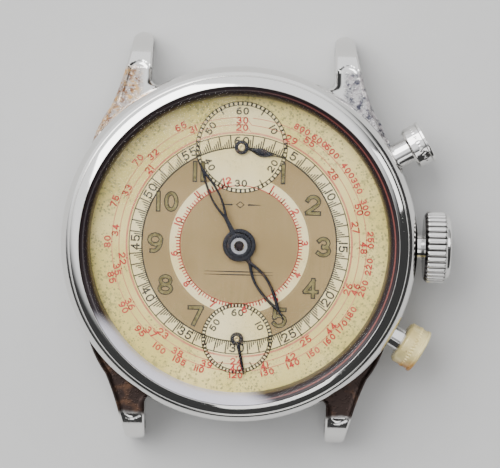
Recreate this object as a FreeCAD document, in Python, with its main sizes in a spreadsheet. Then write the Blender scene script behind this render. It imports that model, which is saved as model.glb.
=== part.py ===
import FreeCAD, Part
import math
import os
import Sketcher

# A two-register chronograph watch head: case, dial, hands, crown, two pushers and a simplified movement.
# Millimetres. +Z points out of the dial, +Y to 12 o'clock, +X to the crown at 3 o'clock.
# The origin is the centre of the case back's flat outer face.

doc = FreeCAD.newDocument("ChronographHead")
Vec = FreeCAD.Vector
UP = Vec(0, 0, 1)
ALONG = Vec(1, 0, 0)
ON_FLAT_AXIS, ON_UPRIGHT_AXIS = -1, -2

# ---------------------------------------------------------------- driving sizes

SIZES = {
    # case
    "bezel_radius": 17.5,
    "bezel_base": 6.4,
    "bezel_top": 9.4,
    "crystal_radius": 15.3,
    "crystal_edge": 9.2,
    "crystal_rise": 2.7,
    "crystal_wall": 0.7,
    "case_radius": 17.25,
    "case_base": 1.9,
    "case_bore": 15.05,
    "back_radius": 16.1,
    "back_flat": 12.6,
    "back_wall": 0.7,
    "lug_gap": 18.0,
    "lug_reach": 20.4,
    "lug_tip_width": 2.0,
    "lug_foot": 0.3,
    "bar_hole": 0.5,
    "bar_reach": 18.9,
    "bar_height": 1.9,
    # dial and hands
    "dial_radius": 14.95,
    "dial_low": 6.8,
    "dial_high": 7.2,
    "dial_opening": 14.6,
    "counter_y": 9.6,
    "seconds_y": -9.25,
    "hand_thickness": 0.14,
    "small_hand_low": 7.4,
    "hour_hand_low": 7.5,
    "minute_hand_low": 7.9,
    # crown and pushers
    "stem_height": 4.45,
    "crown_radius": 3.55,
    "crown_inner_face": 18.25,
    "crown_outer_face": 20.94,
    "crown_flutes": 34.0,
    "stem_radius": 0.45,
    "tube_radius": 1.2,
    "pusher_angle": 30.0,
    "pusher_height": 4.2,
    "start_cap_radius": 2.18,
    "start_cap_inner": 19.15,
    "start_neck_radius": 1.3,
    "reset_cap_radius": 2.25,
    "reset_cap_inner": 18.85,
    "reset_neck_radius": 1.18,
    "cap_outer_face": 21.1,
    "pusher_rod_radius": 0.55,
    "pusher_rod_end": 13.9,
    # movement
    "movement_radius": 14.4,
    "plate_low": 5.2,
    "plate_high": 6.8,
    "recess_low": 6.1,
    "bridge_low": 2.8,
    "bridge_high": 3.7,
    "chronograph_low": 1.05,
    "pivot_radius": 0.12,
    "jewel_radius": 0.5,
    "jewel_thickness": 0.3,
}


class Size:
    """A length that carries both its value and the spreadsheet expression that gives it."""

    def __init__(self, value, text):
        self.value = value
        self.text = text

    def _join(self, other, sign, result):
        """Combine with another size or a plain number."""
        text = other.text if isinstance(other, Size) else f"{other:.6g}"
        return Size(result, f"({self.text} {sign} {text})")

    def __add__(self, other):
        return self._join(other, "+", self.value + number(other))

    def __sub__(self, other):
        return self._join(other, "-", self.value - number(other))

    def __mul__(self, other):
        return self._join(other, "*", self.value * number(other))

    def __truediv__(self, other):
        return self._join(other, "/", self.value / number(other))

    def __neg__(self):
        return self * -1


def number(size):
    """The plain value of a size or a number."""
    return size.value if isinstance(size, Size) else float(size)


sheet = doc.addObject("Spreadsheet::Sheet", "Sizes")
for row, (alias, value) in enumerate(SIZES.items(), start=1):
    sheet.set(f"A{row}", alias.replace("_", " "))
    sheet.set(f"B{row}", str(value))
    sheet.setAlias(f"B{row}", alias)
doc.recompute()


def size(alias):
    """The size that a cell of the sheet holds."""
    return Size(float(sheet.get(alias)), f"Sizes.{alias}")


def bind(thing, prop, length):
    """Set a property from a size, or from a plain number."""
    if isinstance(length, Size):
        thing.setExpression(prop, length.text)
    else:
        setattr(thing, prop, length)


# ---------------------------------------------------------------- sketches and features


def origin_plane(body, role):
    """One of the body's own origin planes or axes."""
    return next(item for item in body.Origin.OriginFeatures if item.Role == role)


def new_body(label):
    """An empty body whose label is the sub-part's name."""
    body = doc.addObject("PartDesign::Body", label)
    body.Label = label
    return body


def pin_point(sketch, index, position, x, y):
    """Fix one point of a sketch edge at x, y from the sketch's origin."""
    for kind, length in (("DistanceX", x), ("DistanceY", y)):
        item = Sketcher.Constraint(kind, -1, 1, index, position, number(length))
        constraint = sketch.addConstraint(item)
        if isinstance(length, Size):
            sketch.setExpression(f"Constraints[{constraint}]", length.text)


def add_loop(sketch, corners):
    """A closed loop. A corner is (x, y), or (x, y, mid_x, mid_y) where an arc starts.

    A fifth value names the sketch axis that the arc's centre lies on, as on a dome turned about it.
    """
    first = sketch.GeometryCount
    ends = []
    for index, corner in enumerate(corners):
        after = corners[(index + 1) % len(corners)]
        start = Vec(number(corner[0]), number(corner[1]), 0)
        finish = Vec(number(after[0]), number(after[1]), 0)
        if len(corner) == 2:
            sketch.addGeometry(Part.LineSegment(start, finish), False)
            ends.append((1, 2))
            continue
        middle = Vec(number(corner[2]), number(corner[3]), 0)
        arc = Part.Arc(start, middle, finish).toShape().Curve
        turn = (middle - start).cross(finish - middle).z
        sketch.addGeometry(Part.Arc(start, middle, finish), False)
        ends.append((1, 2) if turn > 0 else (2, 1))
        if len(corner) == 5:
            centred = Sketcher.Constraint("PointOnObject", first + index, 3, corner[4])
            sketch.addConstraint(centred)
        else:
            sketch.addConstraint(Sketcher.Constraint("Radius", first + index, arc.Radius))
    for index, corner in enumerate(corners):
        following = (index + 1) % len(corners)
        joined = (first + index, ends[index][1], first + following, ends[following][0])
        sketch.addConstraint(Sketcher.Constraint("Coincident", *joined))
        pin_point(sketch, first + index, ends[index][0], corner[0], corner[1])


def add_circle(sketch, x, y, radius):
    """A circle with its centre and radius fixed."""
    circle = Part.Circle(Vec(number(x), number(y), 0), UP, number(radius))
    index = sketch.addGeometry(circle, False)
    pin_point(sketch, index, 3, x, y)
    constraint = sketch.addConstraint(Sketcher.Constraint("Radius", index, number(radius)))
    if isinstance(radius, Size):
        sketch.setExpression(f"Constraints[{constraint}]", radius.text)


def new_sketch(body, name, role, loops=(), circles=()):
    """A sketch on one of the body's origin planes, holding closed loops and circles."""
    sketch = body.newObject("Sketcher::SketchObject", f"{body.Name}_{name}")
    sketch.AttachmentSupport = [(origin_plane(body, role), "")]
    sketch.MapMode = "FlatFace"
    for corners in loops:
        add_loop(sketch, corners)
    for circle in circles:
        add_circle(sketch, *circle)
    return sketch


def pad(body, name, length, loops=(), circles=(), role="XY_Plane"):
    """A pad along the plane's normal."""
    feature = body.newObject("PartDesign::Pad", f"{body.Name}_{name}")
    feature.Profile = new_sketch(body, name + "_outline", role, loops, circles)
    bind(feature, "Length", length)
    return feature


def pocket(body, name, length, loops=(), circles=(), role="XY_Plane", both_ways=False):
    """A pocket cut along the plane's normal, or both ways from it."""
    feature = body.newObject("PartDesign::Pocket", f"{body.Name}_{name}")
    feature.Profile = new_sketch(body, name + "_outline", role, loops, circles)
    feature.Reversed = not both_ways
    feature.Midplane = both_ways
    bind(feature, "Length", length)
    return feature


def turned(body, name, corners, cut=False, axis="V_Axis"):
    """A profile in the XZ plane turned about the Z axis, or about the X axis with H_Axis."""
    kind = "PartDesign::Groove" if cut else "PartDesign::Revolution"
    feature = body.newObject(kind, f"{body.Name}_{name}")
    sketch = new_sketch(body, name + "_profile", "XZ_Plane", [corners])
    feature.Profile = sketch
    feature.ReferenceAxis = (sketch, [axis])
    feature.Angle = 360
    return feature


def finished(body, z=0.0):
    """Lift the finished body to its height and return it."""
    if isinstance(z, Size):
        body.setExpression("Placement.Base.z", z.text)
    else:
        body.Placement.Base.z = z
    return body


def flat_piece(label, z, thickness, loops, posts=(), post_height=0.0, holes=(), round_ends=()):
    """A flat piece: outlines padded up, posts standing on it and round holes right through."""
    body = new_body(label)
    pad(body, "plate", thickness, loops)
    for index, circle in enumerate(round_ends):
        pad(body, f"boss{index}", thickness, circles=[circle])
    if posts:
        pad(body, "posts", post_height, circles=posts)
    if holes:
        pocket(body, "holes", number(thickness) + number(post_height) + 1, circles=holes)
    return finished(body, z)


# ---------------------------------------------------------------- shapes made in code


def cylinder(radius, low, high, x=0.0, y=0.0):
    """A solid cylinder standing along Z."""
    return Part.makeCylinder(number(radius), number(high) - number(low), Vec(x, y, number(low)))


def lying_cylinder(radius, start, end, y=0.0, z=0.0):
    """A solid cylinder lying along X."""
    span = number(end) - number(start)
    return Part.makeCylinder(number(radius), span, Vec(number(start), y, number(z)), ALONG)


def feature(label, shape, x=0.0, y=0.0):
    """A document object that holds a shape made in code, placed at x, y."""
    item = doc.addObject("Part::Feature", label)
    item.Label = label
    item.Shape = shape if shape.Placement.isIdentity() else Part.makeCompound([shape])
    item.Placement = FreeCAD.Placement(Vec(x, y, 0), FreeCAD.Rotation())
    return item


def gear_blank(teeth, module, low, high, phase=0.0, lean=0.0):
    """A toothed disc: each tooth is a trapezium, leaning if it is a ratchet tooth."""
    pitch_radius = teeth * module / 2
    root, tip = pitch_radius - 1.15 * module, pitch_radius + 0.85 * module
    step = 2 * math.pi / teeth
    corners = []
    for tooth in range(teeth):
        middle = tooth * step + phase
        for radius, offset in ((root, -0.29), (tip, -0.12), (tip, 0.12), (root, 0.29)):
            angle = middle + (offset + (lean if radius == tip else 0.0)) * step
            corners.append(Vec(radius * math.cos(angle), radius * math.sin(angle), number(low)))
    corners.append(corners[0])
    face = Part.Face(Part.makePolygon(corners))
    return face.extrude(Vec(0, 0, number(high) - number(low)))


def mesh_phase(driver_teeth, driver_phase, driver_place, teeth, place):
    """Phase that puts a gap of the second gear opposite a tooth of the first, on the line of centres."""
    line = math.atan2(place[1] - driver_place[1], place[0] - driver_place[0])
    step, driver_step = 2 * math.pi / teeth, 2 * math.pi / driver_teeth
    return line + math.pi - step * (0.5 - (line - driver_phase) / driver_step)


def crossed_wheel(teeth, module, low, high, arms=5, phase=0.0):
    """A train wheel: a toothed rim with round windows between its arms."""
    blank = gear_blank(teeth, module, low, high, phase)
    inside = teeth * module / 2 - 3.2 * module
    ring = (inside + 0.9) / 2
    window = min(inside - ring, ring * math.sin(math.pi / arms) * 0.86)
    for arm in range(arms):
        angle = 2 * math.pi * (arm + 0.5) / arms
        x, y = ring * math.cos(angle), ring * math.sin(angle)
        blank = blank.cut(cylinder(window, number(low) - 1, number(high) + 1, x, y))
    return blank


def joined(*solids):
    """One solid from several that touch."""
    return solids[0].multiFuse(list(solids[1:])).removeSplitter()


def arbor(steps):
    """A turned arbor along Z: (radius, low, high) for each step."""
    return joined(*[cylinder(*step) for step in steps]) if len(steps) > 1 else cylinder(*steps[0])


def spiral_spring(inner, outer, turns, width, low, high, steps=24):
    """A flat spiral band with a rectangular section."""
    count = int(turns * steps)
    inside, outside = [], []
    for index in range(count + 1):
        angle = 2 * math.pi * index / steps
        radius = inner + (outer - inner) * index / count
        direction = Vec(math.cos(angle), math.sin(angle), 0)
        inside.append(direction * (radius - width / 2) + UP * low)
        outside.append(direction * (radius + width / 2) + UP * low)
    corners = inside + outside[::-1] + [inside[0]]
    return Part.Face(Part.makePolygon(corners)).extrude(UP * (high - low))


def coil_spring(radius, wire, start, end, turns):
    """A coil spring lying along X from start to end."""
    pitch = (end - start - 2 * wire) / turns
    helix = Part.makeHelix(pitch, pitch * turns, radius)
    section = Part.Wire([Part.makeCircle(wire, Vec(radius, 0, 0), Vec(0, 1, 0))])
    coil = Part.Wire(helix).makePipeShell([section], True, True)
    coil.rotate(Vec(), Vec(0, 1, 0), 90)
    coil.translate(Vec(start + wire, 0, 0))
    return coil


# ---------------------------------------------------------------- case


def make_bezel():
    """Polished ring that holds the crystal: a domed flank, a fine step and a broad top band."""
    edge, base, top = size("bezel_radius"), size("bezel_base"), size("bezel_top")
    inner = size("crystal_radius")
    body = new_body("bezel")
    turned(body, "ring", [
        (size("case_bore"), base),
        (edge - 0.15, base),
        (edge, base + 0.25),
        (edge, base + 0.95, edge - 0.28, base + 1.78),
        (edge - 0.82, base + 2.35),
        (edge - 0.87, base + 2.5),
        (edge - 1.9, top),
        (inner + 0.08, top),
        (inner + 0.02, top - 0.18),
        (inner + 0.02, base + 1.25),
        (size("case_bore"), base + 1.25),
    ])
    return body


def make_crystal():
    """Domed crystal: a shallow shell with a straight edge wall seated in the bezel."""
    edge, low = size("crystal_radius"), size("bezel_base") + 1.27
    rise, wall = size("crystal_rise"), size("crystal_wall")
    shoulder = size("crystal_edge")
    body = new_body("crystal")
    turned(body, "dome", [
        (0.0, shoulder + rise - wall, (edge - wall) * 0.5, shoulder + rise * 0.6, ON_UPRIGHT_AXIS),
        (edge - wall, shoulder - 0.1),
        (edge - wall, low),
        (edge, low),
        (edge, shoulder, edge * 0.5, shoulder + rise * 0.76, ON_UPRIGHT_AXIS),
        (0.0, shoulder + rise),
    ])
    return body


def make_reflector_ring():
    """Thin sloping ring between the dial's edge and the crystal's wall."""
    seat = size("dial_high") + 0.02
    outer, inner = size("case_bore") - 0.02, size("dial_opening") + 0.02
    body = new_body("reflector_ring")
    turned(body, "ring", [
        (inner, seat),
        (outer, seat),
        (outer, seat + 0.43),
        (inner + 0.12, seat + 0.43),
    ])
    return body


def lug_outline(side, end):
    """Plan outline of one lug; side and end are +1 or -1 and mirror it across X and Y."""
    inner = size("lug_gap") / 2 * side
    tip = size("lug_reach") * end
    width = size("lug_tip_width") * side
    return [
        (inner, 13.6 * end),
        (inner, tip - 0.75 * end, inner + 0.25 * side, tip - 0.2 * end),
        (inner + 0.85 * side, tip, inner + width - 0.3 * side, tip - 0.22 * end),
        (inner + width - 0.03 * side, tip - 0.8 * end, 12.05 * side, 15.6 * end),
        (13.0 * side, 13.35 * end, 14.2 * side, 11.4 * end),
        (15.02 * side, 8.42 * end),
        (13.4 * side, 8.9 * end),
    ]


def lug_profile(end):
    """Side outline, in the YZ plane, that the lugs of one end are cut to."""
    tip = size("lug_reach") * end
    foot, top = size("lug_foot"), size("bezel_base")
    return [
        (8.0 * end, size("case_base")),
        (14.6 * end, size("case_base"), 16.9 * end, 1.35),
        (tip - 1.2 * end, foot),
        (tip - 0.45 * end, foot, tip - 0.08 * end, foot + 0.35),
        (tip, foot + 0.9, tip - 1.15 * end, foot + 4.1),
        (tip - 3.3 * end, top - 0.05),
        (8.0 * end, top - 0.05),
    ]


def make_mid_case():
    """Case ring with four curved lugs, drilled for the strap bars, the crown tube and the pusher tubes."""
    base, top = size("case_base"), size("bezel_base")
    outer, bore = size("case_radius"), size("case_bore")
    body = new_body("mid_case")
    corners = [(side, end) for side in (1, -1) for end in (1, -1)]
    pad(body, "lugs", top - 0.05, [lug_outline(*corner) for corner in corners])
    frame = [(-30.0, -5.0), (30.0, -5.0), (30.0, 15.0), (-30.0, 15.0)]
    sides = [frame, lug_profile(1), lug_profile(-1)]
    pocket(body, "lug_sides", 60.0, sides, role="YZ_Plane", both_ways=True)
    turned(body, "ring", [
        (bore, base),
        (outer - 1.0, base, outer - 0.22, base + 0.9),
        (outer, base + 2.2),
        (outer, top - 0.02),
        (bore, top - 0.02),
    ])
    holes = [(size("bar_reach") * end, size("bar_height"), size("bar_hole")) for end in (1, -1)]
    pocket(body, "bar_holes", 60.0, circles=holes, role="YZ_Plane", both_ways=True)
    doc.recompute()
    tools = [lying_cylinder(1.2, 14, 18, 0, number(size("stem_height")))]
    for sign, radius in ((1, 1.6), (-1, 1.5)):
        tool = lying_cylinder(radius, 14, 18)
        tools.append(at_pusher(tool, sign))
    return body, tools


def at_pusher(shape, sign):
    """Turn a shape made along X to the start pusher's direction, or to the reset pusher's."""
    shape = shape.copy()
    shape.rotate(Vec(), UP, sign * number(size("pusher_angle")))
    shape.translate(Vec(0, 0, number(size("pusher_height"))))
    return shape


def bored(label, source, tools):
    """Cut radial bores from a finished body: a Part::Cut of the body and a compound of the tools."""
    cutter = doc.addObject("Part::Feature", f"{label}_bores")
    cutter.Shape = Part.makeCompound(tools)
    source.Label = f"{label}_blank"
    cut = doc.addObject("Part::Cut", f"{label}_cut")
    cut.Base = source
    cut.Tool = cutter
    cut.Label = label
    return cut


def make_case_back():
    """Snap-on back: a flat centre, a rising flank, a lip inside the case and a prying notch."""
    edge, flat, wall = size("back_radius"), size("back_flat"), size("back_wall")
    base = size("case_base")
    lip = size("case_bore") - 0.02
    body = new_body("case_back")
    turned(body, "shell", [
        (0.0, 0.0),
        (flat, 0.0),
        (flat + 0.25, 0.16),
        (flat + 0.55, 0.16, flat + 2.4, 0.62),
        (edge, base - 0.35),
        (edge, base),
        (lip, base),
        (lip, base + 0.6),
        (lip - 0.5, base + 0.6),
        (lip - 0.5, base - 0.1),
        (flat + 0.9, wall),
        (0.0, wall),
    ])
    pocket(body, "notch", 0.5, [[(-1.6, -17.0), (1.6, -17.0), (1.6, -15.75), (-1.6, -15.75)]])
    body.Tip.Reversed = True
    sketch = body.Tip.Profile[0]
    sketch.AttachmentOffset = FreeCAD.Placement(Vec(0, 0, number(base) - 0.5), FreeCAD.Rotation())
    return body


def make_movement_ring():
    """Casing ring that centres the movement in the case."""
    inner, outer = size("movement_radius") + 0.05, size("case_bore") - 0.05
    body = new_body("movement_ring")
    turned(body, "ring", [
        (inner, 3.0),
        (outer, 3.0),
        (outer, size("dial_low") - 0.05),
        (inner, size("dial_low") - 0.05),
    ])
    tools = [lying_cylinder(0.55, 14, 16, 0, number(size("stem_height")))]
    for sign in (1, -1):
        tools.append(at_pusher(lying_cylinder(0.65, 14, 16), sign))
    return body, tools


# ---------------------------------------------------------------- crown and stem


def make_crown():
    """Fluted crown: a recessed inner face, a chamfered rim and a domed outer face."""
    radius = size("crown_radius")
    inner, outer = size("crown_inner_face"), size("crown_outer_face")
    recess = size("tube_radius") + 0.12
    body = new_body("crown")
    turned(body, "blank", [
        (inner + 1.2, 0.0),
        (inner + 1.2, recess),
        (inner, recess),
        (inner, radius - 0.5),
        (inner + 0.4, radius),
        (outer - 0.75, radius, outer - 0.42, radius - 0.14),
        (outer - 0.22, radius - 0.5),
        (outer - 0.12, radius - 0.95, outer - 0.03, 1.3, ON_FLAT_AXIS),
        (outer, 0.0),
    ], axis="H_Axis")
    pocket(body, "stem_bore", outer - 0.8, circles=[(0.0, 0.0, size("stem_radius"))], role="YZ_Plane")
    flute = 0.2
    pocket(body, "flute", outer + 1.0, circles=[(radius + 0.1, 0.0, flute)], role="YZ_Plane")
    first = body.Tip
    pattern = body.newObject("PartDesign::PolarPattern", "crown_flutes")
    pattern.Originals = [first]
    pattern.Axis = (origin_plane(body, "X_Axis"), [""])
    pattern.Angle = 360
    pattern.setExpression("Occurrences", size("crown_flutes").text)
    body.Tip = pattern
    return finished(body, size("stem_height"))


def make_crown_tube():
    """Steel tube pressed into the case; the stem runs through it."""
    outer, bore = size("tube_radius"), size("stem_radius") + 0.06
    body = new_body("crown_tube")
    turned(body, "tube", [(15.2, bore), (19.0, bore), (19.0, outer), (15.2, outer)], axis="H_Axis")
    return finished(body, size("stem_height"))


def make_winding_stem():
    """Stem from the movement to the crown, with a square for the sliding pinion and a lever groove."""
    radius = size("stem_radius")
    groove = 0.3
    body = new_body("winding_stem")
    turned(body, "rod", [
        (9.3, 0.0),
        (9.3, 0.25),
        (9.8, 0.25),
        (9.8, 0.3),
        (11.5, 0.3),
        (11.5, radius),
        (12.7, radius),
        (12.7, groove),
        (13.3, groove),
        (13.3, radius),
        (size("crown_outer_face") - 0.9, radius),
        (size("crown_outer_face") - 0.9, 0.0),
    ], axis="H_Axis")
    half = 0.3
    square = [(-half, -half), (half, -half), (half, half), (-half, half)]
    pad(body, "square", 11.5, [square], role="YZ_Plane")
    pocket(body, "square_end", 9.8, [[(-1.0, -1.0), (1.0, -1.0), (1.0, 1.0), (-1.0, 1.0)]], role="YZ_Plane")
    return finished(body, size("stem_height"))


# ---------------------------------------------------------------- pushers


def make_pusher(name, sign, cap_radius, neck_radius, cap_inner):
    """One pusher: the cap, its sprung stem, the tube in the case and the coil spring between them."""
    outer_face = size("cap_outer_face")
    rod, rod_end = size("pusher_rod_radius"), size("pusher_rod_end")
    shoulder = 16.9
    tilt = FreeCAD.Rotation(UP, sign * number(size("pusher_angle")))

    cap = new_body(f"{name}_pusher_cap")
    turned(cap, "blank", [
        (cap_inner, neck_radius - 0.02),
        (cap_inner, cap_radius - 0.28, cap_inner + 0.1, cap_radius - 0.08),
        (cap_inner + 0.3, cap_radius),
        (outer_face - 0.62, cap_radius, outer_face - 0.34, cap_radius - 0.12),
        (outer_face - 0.14, cap_radius - 0.5, outer_face - 0.04, 0.9, ON_FLAT_AXIS),
        (outer_face, 0.0),
        (cap_inner + 0.9, 0.0),
        (cap_inner + 0.9, neck_radius - 0.02),
    ], axis="H_Axis")

    stem = new_body(f"{name}_pusher_stem")
    turned(stem, "rod", [
        (rod_end, 0.0),
        (rod_end, rod),
        (shoulder, rod),
        (shoulder, neck_radius),
        (cap_inner, neck_radius),
        (cap_inner, neck_radius - 0.02),
        (cap_inner + 0.9, neck_radius - 0.02),
        (cap_inner + 0.9, 0.0),
    ], axis="H_Axis")

    tube = new_body(f"{name}_pusher_tube")
    wall, guide = neck_radius + 0.3, neck_radius + 0.05
    turned(tube, "tube", [
        (15.1, rod + 0.06),
        (15.35, rod + 0.06),
        (15.35, guide),
        (17.6, guide),
        (17.6, wall),
        (15.1, wall),
    ], axis="H_Axis")

    coil = coil_spring(number(neck_radius) * 0.5 + 0.32, 0.15, 15.4, shoulder - 0.03, 3.5)
    spring = feature(f"{name}_pusher_spring", coil)
    for piece in (cap, stem, tube, spring):
        height = number(size("pusher_height"))
        piece.Placement = FreeCAD.Placement(Vec(0, 0, height), tilt)
    return [cap, stem, tube, spring]


# ---------------------------------------------------------------- dial and hands


def make_dial():
    """Dial disc with holes for the hand arbors and two feet that locate it on the main plate."""
    radius, thickness = size("dial_radius"), size("dial_high") - size("dial_low")
    body = new_body("dial")
    holes = [
        (0.0, 0.0, 1.35),
        (0.0, size("counter_y"), 0.45),
        (0.0, size("seconds_y"), 0.45),
    ]
    pad(body, "disc", thickness, circles=[(0.0, 0.0, radius), *holes])
    feet = [(-12.6, 3.4, 0.4), (12.6, -4.4, 0.4)]
    pad(body, "feet", 0.9, circles=feet)
    body.Tip.Reversed = True
    return finished(body, size("dial_low"))


def leaf(width, root, tip, widest, inset=0.0):
    """Outline of a leaf hand along +Y, or of the window inside it when it is inset."""
    half = width / 2 - inset
    low, high = root + inset * 1.4, tip - inset * 3.0
    rise, fall = (low + widest) / 2, (widest + high) / 2
    return [
        (0.0, low, half * 0.66, rise),
        (half, widest, half * 0.62, fall),
        (0.0, high, -half * 0.62, fall),
        (-half, widest, -half * 0.66, rise),
    ]


def make_hand(label, z, bore, hub, blade, windows=(), tail=(), clock_angle=0.0, at_y=0.0):
    """A hand cut from sheet, its blade along +Y before it is turned to the time it shows."""
    thickness = size("hand_thickness")
    body = new_body(label)
    pad(body, "hub", thickness, circles=[(0.0, 0.0, hub)])
    pad(body, "blade", thickness, [blade])
    if tail:
        pad(body, "tail", thickness, [tail])
    if windows:
        pocket(body, "window", thickness, windows)
    pocket(body, "bore", thickness, circles=[(0.0, 0.0, bore)])
    turn = FreeCAD.Rotation(UP, -clock_angle)
    body.Placement = FreeCAD.Placement(Vec(0, number(at_y), number(z)), turn)
    return body


def make_hands():
    """Hour and minute leaf hands, the counter hand and the small seconds hand."""
    hour = make_hand("hour_hand", size("hour_hand_low"), 1.17, 1.62, leaf(1.4, 1.2, 8.7, 4.1),
                     [leaf(1.4, 1.2, 8.7, 4.1, 0.26)], clock_angle=147.7)
    minute = make_hand("minute_hand", size("minute_hand_low"), 0.8, 1.2, leaf(0.95, 0.9, 9.8, 4.6),
                       [leaf(0.95, 0.9, 9.8, 4.6, 0.2)], clock_angle=333.0)
    counter = make_hand("counter_hand", size("small_hand_low"), 0.2, 0.7, leaf(0.8, 0.3, 4.3, 2.0),
                        clock_angle=103.4, at_y=size("counter_y"))
    baton = [(-0.17, 0.3), (0.17, 0.3), (0.1, 3.6), (-0.1, 3.6)]
    seconds = make_hand("seconds_hand", size("small_hand_low"), 0.2, 0.65, baton,
                        clock_angle=167.3, at_y=size("seconds_y"))
    return [hour, minute, counter, seconds]


# ---------------------------------------------------------------- movement: places

BARREL = (4.794, 3.995)
CROWN_WHEEL = (9.0, 0.0)
THIRD = (1.99, -5.02)
FOURTH = (0.0, SIZES["seconds_y"])
ESCAPE = (-3.75, -10.1)
PALLETS = (-6.05, -8.3)
BALANCE = (-8.3, -6.4)
CENTRE = (0.0, 0.0)
MINUTE_WHEEL = (3.84, 0.0)
SETTING_WHEEL = (8.64, 0.0)
COUNTER = (0.0, SIZES["counter_y"])
COLUMN = (8.4, 7.4)
START_LEVER = (12.3, 3.5)
RESET_LEVER = (12.3, -3.5)
SETTING_LEVER = (13.0, -2.2)
CLICK = (0.9, 6.6)
BARREL_BRIDGE_POSTS = [(-3.2, 6.8, 0.9), (7.6, 10.4, 0.9), (8.6, -3.3, 0.75)]
TRAIN_BRIDGE_POSTS = [(5.4, -10.6, 0.9), (-4.9, -12.6, 0.5), (-3.3, -6.2, 0.6)]
BALANCE_COCK_POSTS = [(-12.55, -4.9, 0.55)]
PALLET_BRIDGE_POST = (-7.0, -10.3, 0.45)
CHRONOGRAPH_PILLARS = [(-0.8, -5.4), (0.0, 13.05)]
BRIDGE_PIVOTS = [THIRD, FOURTH, ESCAPE, BALANCE]


def make_main_plate():
    """Main plate: a turned disc with recesses for the motion works, the train and the winding pinion."""
    low, high = number(size("plate_low")), number(size("plate_high"))
    recess = number(size("recess_low"))
    disc = doc.addObject("Part::Cylinder", "main_plate_disc")
    bind(disc, "Radius", size("movement_radius"))
    bind(disc, "Height", size("plate_high") - size("plate_low"))
    disc.setExpression("Placement.Base.z", size("plate_low").text)
    tools = [
        cylinder(3.4, recess, high + 1),
        cylinder(3.2, recess, high + 1, *MINUTE_WHEEL),
        cylinder(2.25, recess, high + 1, *SETTING_WHEEL),
        cylinder(5.1, low - 1, low + 0.5),
        cylinder(0.85, low - 1, low + 0.75, *THIRD),
        cylinder(0.56, low - 1, high + 1),
        Part.makeBox(1.5, 3.8, 2.1, Vec(11.35, -1.9, 4.2)),
        cylinder(0.55, low - 1, high + 1, *COUNTER),
        cylinder(0.42, high - 1.0, high + 1, -12.6, 3.4),
        cylinder(0.42, high - 1.0, high + 1, 12.6, -4.4),
    ]
    jewel = number(size("jewel_radius"))
    tools += [cylinder(jewel, low - 1, high + 1, *place) for place in BRIDGE_PIVOTS + [PALLETS, BARREL]]
    cutter = doc.addObject("Part::Feature", "main_plate_recesses")
    cutter.Shape = Part.makeCompound(tools)
    plate = doc.addObject("Part::Cut", "main_plate")
    plate.Base, plate.Tool = disc, cutter
    return plate


def bridge(label, loops, screws, holes=(), bosses=()):
    """A bridge: outline, posts down to the main plate, screw holes and jewel holes."""
    thickness = size("bridge_high") - size("bridge_low")
    reach = size("plate_low") - size("bridge_low")
    posts = [(x, y, radius) for x, y, radius in screws]
    drilled = [(x, y, 0.32) for x, y, _ in screws] + [(x, y, radius) for x, y, radius in holes]
    return flat_piece(label, size("bridge_low"), thickness, loops, posts, reach, drilled, bosses)


def make_bridges():
    """Barrel bridge, train bridge, balance cock, pallet bridge and chronograph bridge."""
    jewel = size("jewel_radius")
    barrel = bridge(
        "barrel_bridge",
        [[(-4.4, 5.2), (-2.3, -1.8), (5.6, -2.2), (7.4, -4.6), (9.9, -4.3, 11.2, -1.9),
          (11.45, 1.2), (10.6, 4.6), (9.6, 7.4, 9.6, 10.4), (7.2, 12.0), (-1.6, 11.3, -3.9, 9.2)]],
        BARREL_BRIDGE_POSTS,
        [(0.0, 0.0, 0.6), (*COUNTER, jewel), (*BARREL, 0.8), (*CROWN_WHEEL, 0.5)],
    )
    train = bridge(
        "train_bridge",
        [[(-5.3, -13.1, 0.6, -14.12), (6.6, -12.4), (6.7, -8.6), (4.2, -4.0), (1.2, -3.5), (-2.2, -5.0),
          (-4.4, -5.3), (-4.4, -7.4), (-5.3, -9.6)]],
        TRAIN_BRIDGE_POSTS,
        [(*THIRD, jewel), (*FOURTH, jewel), (*ESCAPE, jewel)],
    )
    balance = bridge(
        "balance_cock",
        [[(-13.3, -4.6), (-12.6, -6.2), (-9.2, -8.0, -6.8, -7.6), (-6.9, -5.6, -8.0, -4.8), (-11.4, -3.8)]],
        BALANCE_COCK_POSTS,
        [(*BALANCE, jewel)],
    )
    pallet = flat_piece(
        "pallet_bridge", 4.3, 0.3,
        [[(-6.95, -7.6), (-7.7, -10.6), (-6.6, -11.0), (-5.2, -8.5, -5.4, -7.5)]],
        [PALLET_BRIDGE_POST], number(size("plate_low")) - 4.3,
        [(*PALLETS, 0.14), (*PALLET_BRIDGE_POST[:2], 0.18)],
    )
    chronograph = flat_piece(
        "chronograph_bridge", size("chronograph_low"), 0.32,
        [[(-1.6, -6.0), (0.2, -6.3), (0.95, -1.0), (0.8, 9.0), (0.7, 13.2, 0.0, 13.6), (-0.7, 13.2),
          (-0.9, 9.0), (-1.1, -1.0)]],
        holes=[(0.0, 0.0, 0.38), (*COUNTER, 0.15)] + [(x, y, 0.23) for x, y in CHRONOGRAPH_PILLARS],
    )
    return [barrel, train, balance, pallet, chronograph]


def screw(x, y, head_low, tip, head=0.6, shank=0.28):
    """A cheese-head screw pointing up, with a slot in its head."""
    body = joined(cylinder(head, head_low, head_low + 0.3, x, y), cylinder(shank, head_low, tip, x, y))
    slot = Part.makeBox(2 * head + 1, 0.16, 0.14, Vec(x - head - 0.5, y - 0.08, head_low - 0.02))
    return body.cut(slot)


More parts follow.
